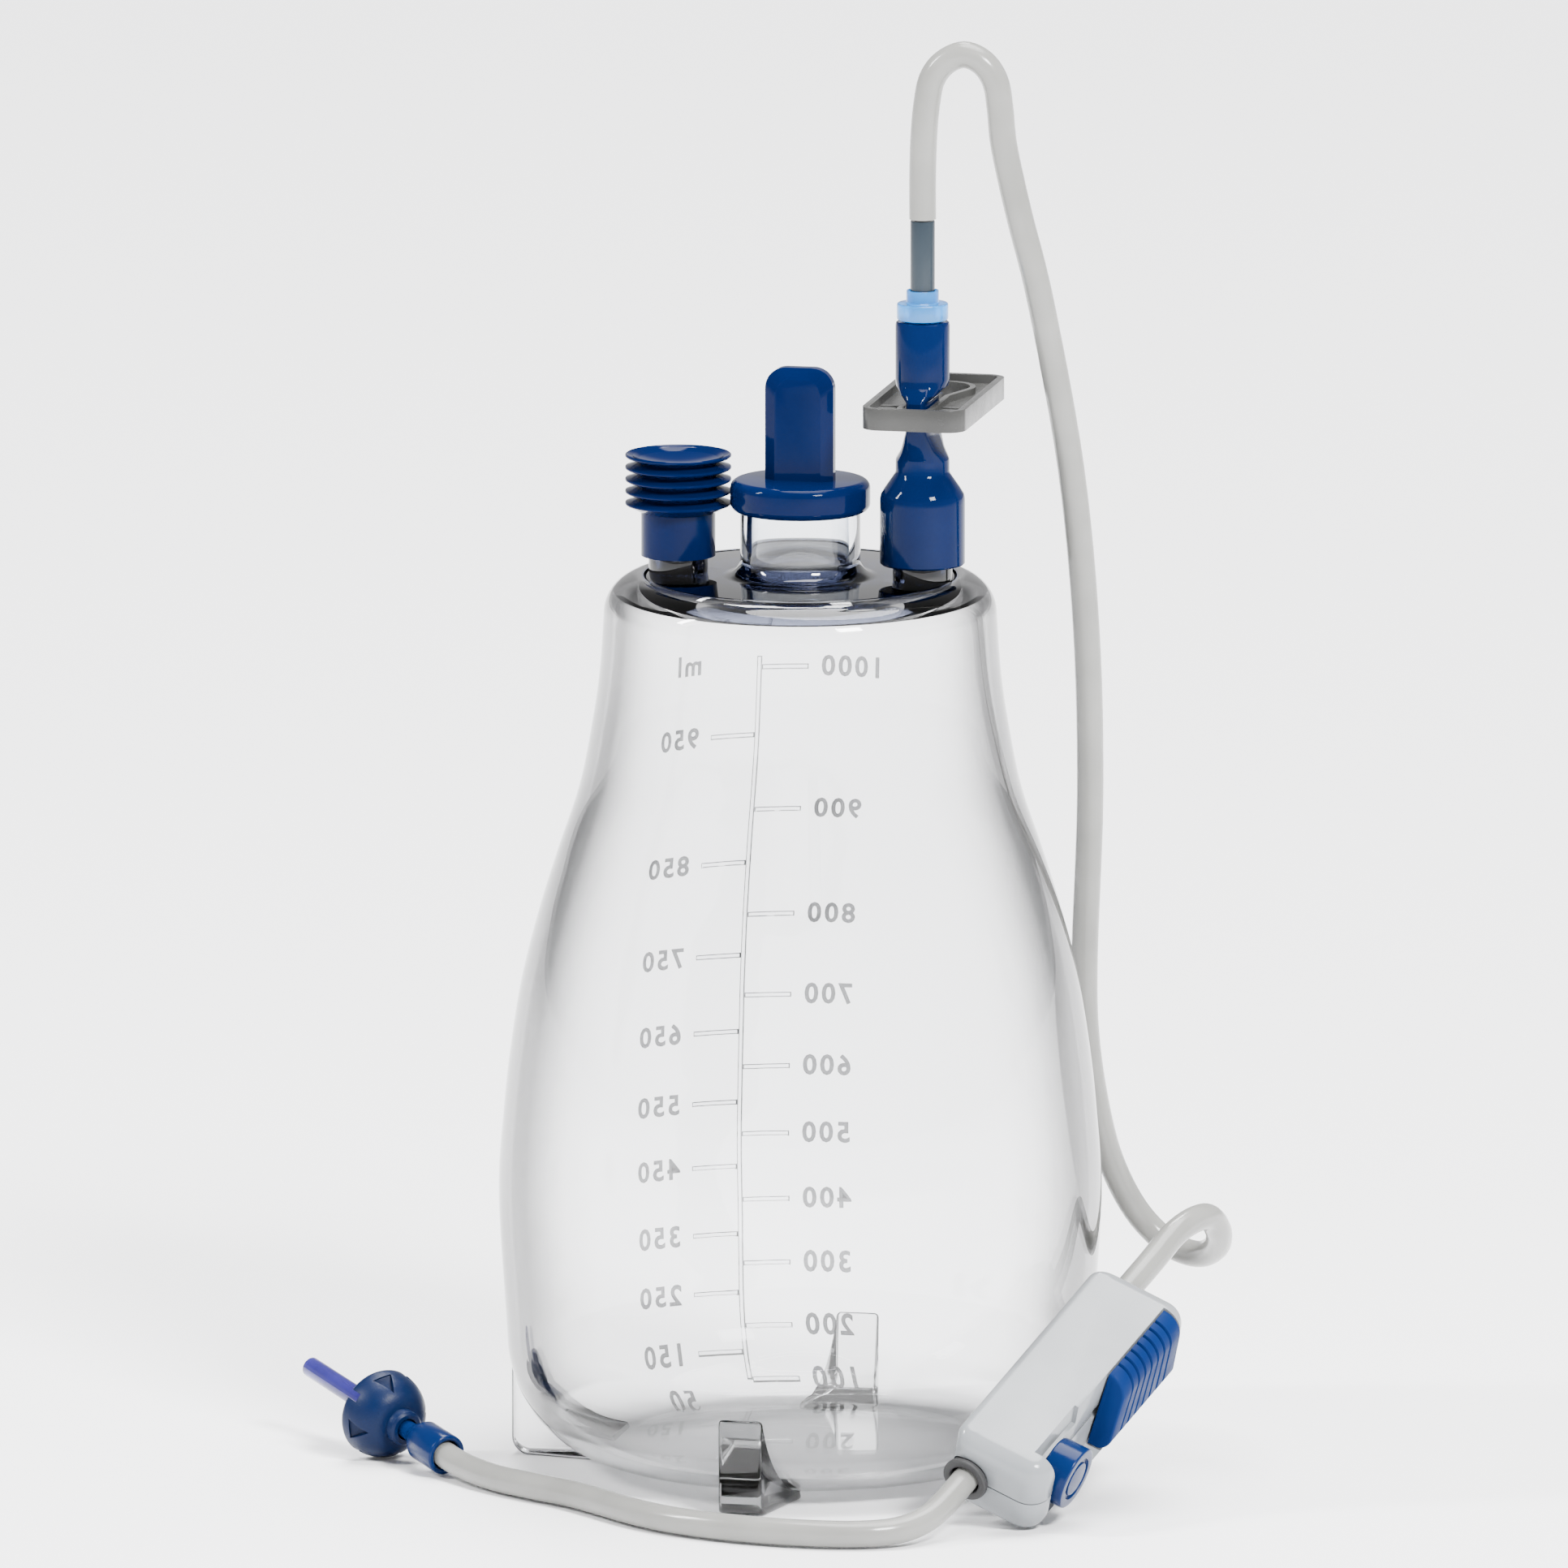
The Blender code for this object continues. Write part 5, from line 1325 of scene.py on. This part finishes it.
def slider_stations():
    """Places along the thumb pad, each with how deep the groove is there."""
    grooves = []
    for groove in range(GROOVE_COUNT):
        start = GROOVE_START + groove * GROOVE_PITCH
        grooves += [(start + GROOVE_WIDTH * share, GROOVE_DEPTH * depth) for share, depth in GROOVE_SHAPE]
    far_end = [(SLIDER_LENGTH - along, draw_in) for along, draw_in in reversed(SLIDER_END)]
    return [*SLIDER_END, *grooves, *far_end]


def make_slider(matrix):
    span = CASE_HALF_HEIGHT + WINDOW_SILL
    rings = []
    for along, draw_in in slider_stations():
        ring = []
        for y, z in slider_outline(draw_in):
            lean = SLIDER_LEAN * (CASE_HALF_HEIGHT - z) / span * (along / SLIDER_LENGTH)
            ring.append((along + lean, y, z))
        rings.append(ring)
    pad = lofted("slider", rings)
    neck_half = SLIT_HALF_HEIGHT - SLIDE_GAP
    foot_face = -TUBE_LANE + TUBE_RADIUS + SLIDE_GAP
    back, end = SLIDER_NECK_INSET, SLIDER_NECK_INSET + SLIDER_NECK_LENGTH
    neck_low = (back, foot_face + SLIDER_OVERLAP, -neck_half)
    neck = block(neck_low, (end, WINDOW_FLOOR + SLIDER_OVERLAP, neck_half))
    foot_high = (end, CAVITY_SIDE - SLIDE_GAP, SLIDER_FOOT_HALF_HEIGHT)
    foot = block((back, foot_face, -SLIDER_FOOT_HALF_HEIGHT), foot_high)
    settled(combined(pad, [neck, foot]), 45.0)
    place = matrix @ shift(SLIDER_BACK)
    dressed(pad, "thumb_slider", BLUE_MATT, place, "slider")


def make_wheel(matrix):
    inner = WINDOW_FLOOR + SLIDE_GAP
    outer = CASE_SIDE + WHEEL_PROUD
    bore = PIN_RADIUS + TOUCH_GAP
    bottom = inner + PIN_DEPTH + TOUCH_GAP
    ring_out = WHEEL_RING_RADIUS + WHEEL_RING_WIDTH / 2
    ring_in = WHEEL_RING_RADIUS - WHEEL_RING_WIDTH / 2
    ring = (ring_out, outer - WHEEL_RING_DEPTH, ring_in)
    profile = stepped(0, bottom, bore, inner, WHEEL_RADIUS, outer, *ring, outer, 0)
    wheel = turned("wheel", softened(profile, WHEEL_EDGE, 4), DISC_FACETS)
    dressed(wheel, "lock_wheel", BLUE, matrix @ about_y(WHEEL_AXIS), "wheel")


def make_flow_clamp():
    matrix = flow_clamp_matrix()
    make_shell("clamp_upper_shell", "housing_upper_shell", 1, matrix)
    make_shell("clamp_lower_shell", "housing_lower_shell", -1, matrix)
    make_bush(matrix)
    make_slider(matrix)
    make_wheel(matrix)
    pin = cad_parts["wheel_pin"]
    pin.data.materials.clear()
    pin.data.materials.append(STEEL)


# Connector


def connector_matrix():
    tilt = atan((DOME_RADIUS - HUB_RADIUS) / (DOME_START + DOME_DEPTH))
    height = HUB_RADIUS / cos(tilt) + TOUCH_GAP
    heading = Matrix.Rotation(HUB_HEADING, 4, "Z")
    return shift(HUB_END.x, HUB_END.y, height) @ heading @ Matrix.Rotation(pi / 2 - tilt, 4, "Y")


def make_hub(matrix):
    socket = TUBE_RADIUS + TOUCH_GAP
    profile = [
        *stepped(0, HUB_SOCKET_DEPTH, socket, 0, HUB_RADIUS, HUB_LENGTH),
        (HUB_NECK_RADIUS * 1.1, HUB_LENGTH + HUB_CONE),
        (HUB_NECK_RADIUS, HUB_LENGTH + HUB_CONE * 1.2),
        (HUB_NECK_RADIUS, NECK_END),
        (0, NECK_END),
    ]
    hub = turned("hub", softened(profile, HUB_EDGE, 4, 30.0), PORT_FACETS)
    dressed(hub, "connector_hub", BLUE, matrix)


def make_dome(matrix):
    neck = HUB_NECK_RADIUS + TOUCH_GAP
    tip = TIP_RADIUS + TOUCH_GAP
    stop = NECK_END + TOUCH_GAP
    rim = DOME_START + DOME_DEPTH
    drop = rim - BOSS_START
    spread = DOME_RADIUS - DOME_COLLAR_RADIUS
    floor = BOSS_START + DOME_WALL
    inner = spread - DOME_WALL
    inside = arc((DOME_COLLAR_RADIUS, rim + TOUCH_GAP), inner, 0, -90, 18, (rim - floor) / inner)
    profile = [
        (neck, stop),
        (neck, DOME_START),
        (DOME_COLLAR_RADIUS - DOME_COLLAR_WALL / 2, DOME_START),
        (DOME_COLLAR_RADIUS, DOME_START + DOME_COLLAR_WALL / 2),
        *arc((DOME_COLLAR_RADIUS, rim), spread, -90, 0, 24, drop / spread),
        (DOME_RADIUS - TOUCH_GAP, rim + 2 * TOUCH_GAP),
        (DOME_RADIUS - DOME_WALL, rim + 2 * TOUCH_GAP),
        *inside,
        (DOME_BOSS_RADIUS, floor),
        (DOME_BOSS_RADIUS, BOSS_END),
        (tip, BOSS_END),
        (tip, stop),
    ]
    dome = turned("dome", profile, PORT_FACETS)
    cutters = []
    size = DOME_HOLLOW_SIZE
    plan = [(x * size, y * size) for x, y in DOME_HOLLOW_PLAN]
    reach = DOME_COLLAR_RADIUS + spread * sin(DOME_HOLLOW_SLOPE)
    depth = rim - drop * cos(DOME_HOLLOW_SLOPE)
    for number in range(DOME_HOLLOWS):
        turn = 2 * pi * (number + 0.5) / DOME_HOLLOWS + DOME_TURN
        pocket = prism(f"pocket_{number}", plan, -size, DOME_HOLLOW_DEPTH)
        turned_to = Matrix.Rotation(turn, 4, "Z") @ shift(reach, z=depth)
        cutters.append(placed(pocket, turned_to @ Matrix.Rotation(-DOME_HOLLOW_SLOPE, 4, "Y")))
    half = DOME_NOTCH_WIDTH / 2
    for number in range(DOME_NOTCHES):
        notch_low = (DOME_RADIUS - 2 * DOME_WALL, -half, rim - DOME_NOTCH_DEPTH)
        notch = block(notch_low, (DOME_RADIUS + DOME_WALL, half, rim + DOME_WALL))
        turn = 2 * pi * number / DOME_NOTCHES + DOME_TURN
        cutters.append(placed(notch, Matrix.Rotation(turn, 4, "Z")))
    settled(bevelled(combined(dome, cut=cutters), DOME_EDGE, 2, 45.0), 35.0)
    dressed(dome, "connector_dome", BLUE_GRAINED, matrix)


def make_tip_and_sheath(matrix):
    end = TIP_START + TIP_LENGTH
    taper = arc((0, end - 2 * TIP_RADIUS), TIP_RADIUS, 0, 90, 8, 2.0)
    tip = turned("tip", [(0, TIP_START), (TIP_RADIUS, TIP_START), *taper[:-1], (0, end)], SMALL_FACETS)
    dressed(tip, "access_tip", TIP_WHITE, matrix)
    bore = SHEATH_RADIUS - SHEATH_WALL
    profile = stepped(0, SHEATH_LENGTH - SHEATH_WALL, bore, 0, SHEATH_RADIUS, SHEATH_LENGTH, 0)
    sheath = turned("purple_sheath", softened(profile, SHEATH_EDGE), SMALL_FACETS)
    place = matrix @ shift(z=SHEATH_START)
    dressed(sheath, "tip_sheath", PURPLE, place, "sheath")


def make_connector():
    matrix = connector_matrix()
    make_hub(matrix)
    make_dome(matrix)
    make_tip_and_sheath(matrix)


# Drainage tube


def tube_route():
    """The same points as the part's tube, from the insert to the hub."""
    clamp = flow_clamp_matrix()
    hub = connector_matrix()
    start = Vector((PORT_OFFSET, 0, INSERT_TOP + TOUCH_GAP))
    rise = [start, start + Vector((0, 0, TUBE_RISE))]
    lane = [-0.0490, -0.0390, -CASE_LENGTH / 2, 0.0, CASE_LENGTH / 2, 0.0335]
    through = [clamp @ Vector((x, -TUBE_LANE, 0)) for x in lane]
    arrive = [hub @ Vector((0, 0, z)) for z in (-0.0045, HUB_SOCKET_DEPTH - TOUCH_GAP)]
    return [*rise, *TUBE_ARCH, *through, *TUBE_GROUND, *arrive]


def make_tube():
    path = smooth_through(tube_route(), TUBE_STEPS)
    curve = bpy.data.curves.new("tube", "CURVE")
    with_settings(curve, dimensions="3D", use_fill_caps=True)
    with_settings(curve, bevel_depth=TUBE_RADIUS, bevel_resolution=TUBE_ROUNDNESS)
    spline = curve.splines.new("POLY")
    spline.points.add(len(path) - 1)
    for point, place in zip(spline.points, path):
        point.co = (*place, 1)
    spline.use_smooth = True
    tube = shown("tube", curve)
    dressed(tube, "drain_tube", TUBE_PALE)
    on_it = ["clamp_upper_shell", "clamp_lower_shell", "bush", "slider", "wheel", "wheel_pin"]
    on_it += ["hub", "dome", "tip", "purple_sheath"]


# Studio


def make_camera():
    a, e = CAMERA_AZIMUTH, CAMERA_ELEVATION
    right = Vector((cos(a), sin(a), 0))
    back = Vector((sin(a) * cos(e), -cos(a) * cos(e), sin(e)))
    up = back.cross(right)
    pixel = PHOTO_WIDTH / PHOTO_SIDE
    middle = PHOTO_SIDE / 2
    target = right * ((middle - PHOTO_AXIS_X) * pixel)
    target += up * ((PHOTO_BASE_Y - PHOTO_RAISE - middle) * pixel)
    camera = shown("camera", bpy.data.cameras.new("camera"))
    with_settings(camera.data, lens=CAMERA_LENS, sensor_width=CAMERA_SENSOR)
    with_settings(camera.data, clip_start=0.01, clip_end=50.0)
    place = Matrix((right, up, back)).transposed().to_4x4()
    place.translation = target + back * (PHOTO_WIDTH * CAMERA_LENS / CAMERA_SENSOR)
    camera.matrix_world = place
    bpy.context.scene.camera = camera


def make_light(name, kind, **settings):
    return shown(name, with_settings(bpy.data.lights.new(name, kind), **settings))


def make_lights():
    """Three soft panels, and broad even light from above that keeps the whole floor white."""
    for name, place, width, height, power in PANELS:
        panel = make_light(name, "AREA", shape="RECTANGLE", size=width, size_y=height, energy=power)
        aim = (PANEL_TARGET - Vector(place)).to_track_quat("-Z", "Y")
        with_settings(panel, location=place, rotation_mode="QUATERNION", rotation_quaternion=aim)
    overhead = make_light("overhead", "SUN", energy=OVERHEAD_POWER, angle=OVERHEAD_SPREAD)
    overhead.rotation_euler = OVERHEAD_TILT


def make_floor():
    bm = bmesh.new()
    bmesh.ops.create_grid(bm, x_segments=1, y_segments=1, size=FLOOR_HALF_SIZE)
    floor = object_from("floor", bm)
    material, shader = shader_of("floor_pale")
    set_inputs(shader, {"Base Color": FLOOR_COLOUR, "Roughness": 0.9, "Specular IOR Level": 0.1})
    floor.data.materials.append(material)


def make_world():
    """A studio that is bright round the sides and darker overhead, for dark edges on clear parts."""
    world = bpy.data.worlds.new("studio")
    bpy.context.scene.world = world
    world.use_nodes = True
    background = world.node_tree.nodes["Background"]
    place = add_node(world, "ShaderNodeTexCoord")
    split = add_node(world, "ShaderNodeSeparateXYZ")
    ramp = add_node(world, "ShaderNodeValToRGB")
    fill_ramp(ramp, [(height, (level, level, level * SKY_BLUENESS)) for height, level in SKY])
    wire(place.outputs["Generated"], split.inputs["Vector"])
    wire(split.outputs["Z"], ramp.inputs["Fac"])
    wire(ramp.outputs["Color"], background.inputs["Color"])
    set_inputs(background, {"Strength": 1.0})


def make_studio():
    make_camera()
    make_world()
    make_floor()
    make_lights()


make_studio()
make_bottle()
make_graduations()
make_port_plate()
make_bellows()
make_cap()
make_sleeve()
make_slide_clamp()
make_collar_and_insert()
make_flow_clamp()
make_connector()
make_tube()
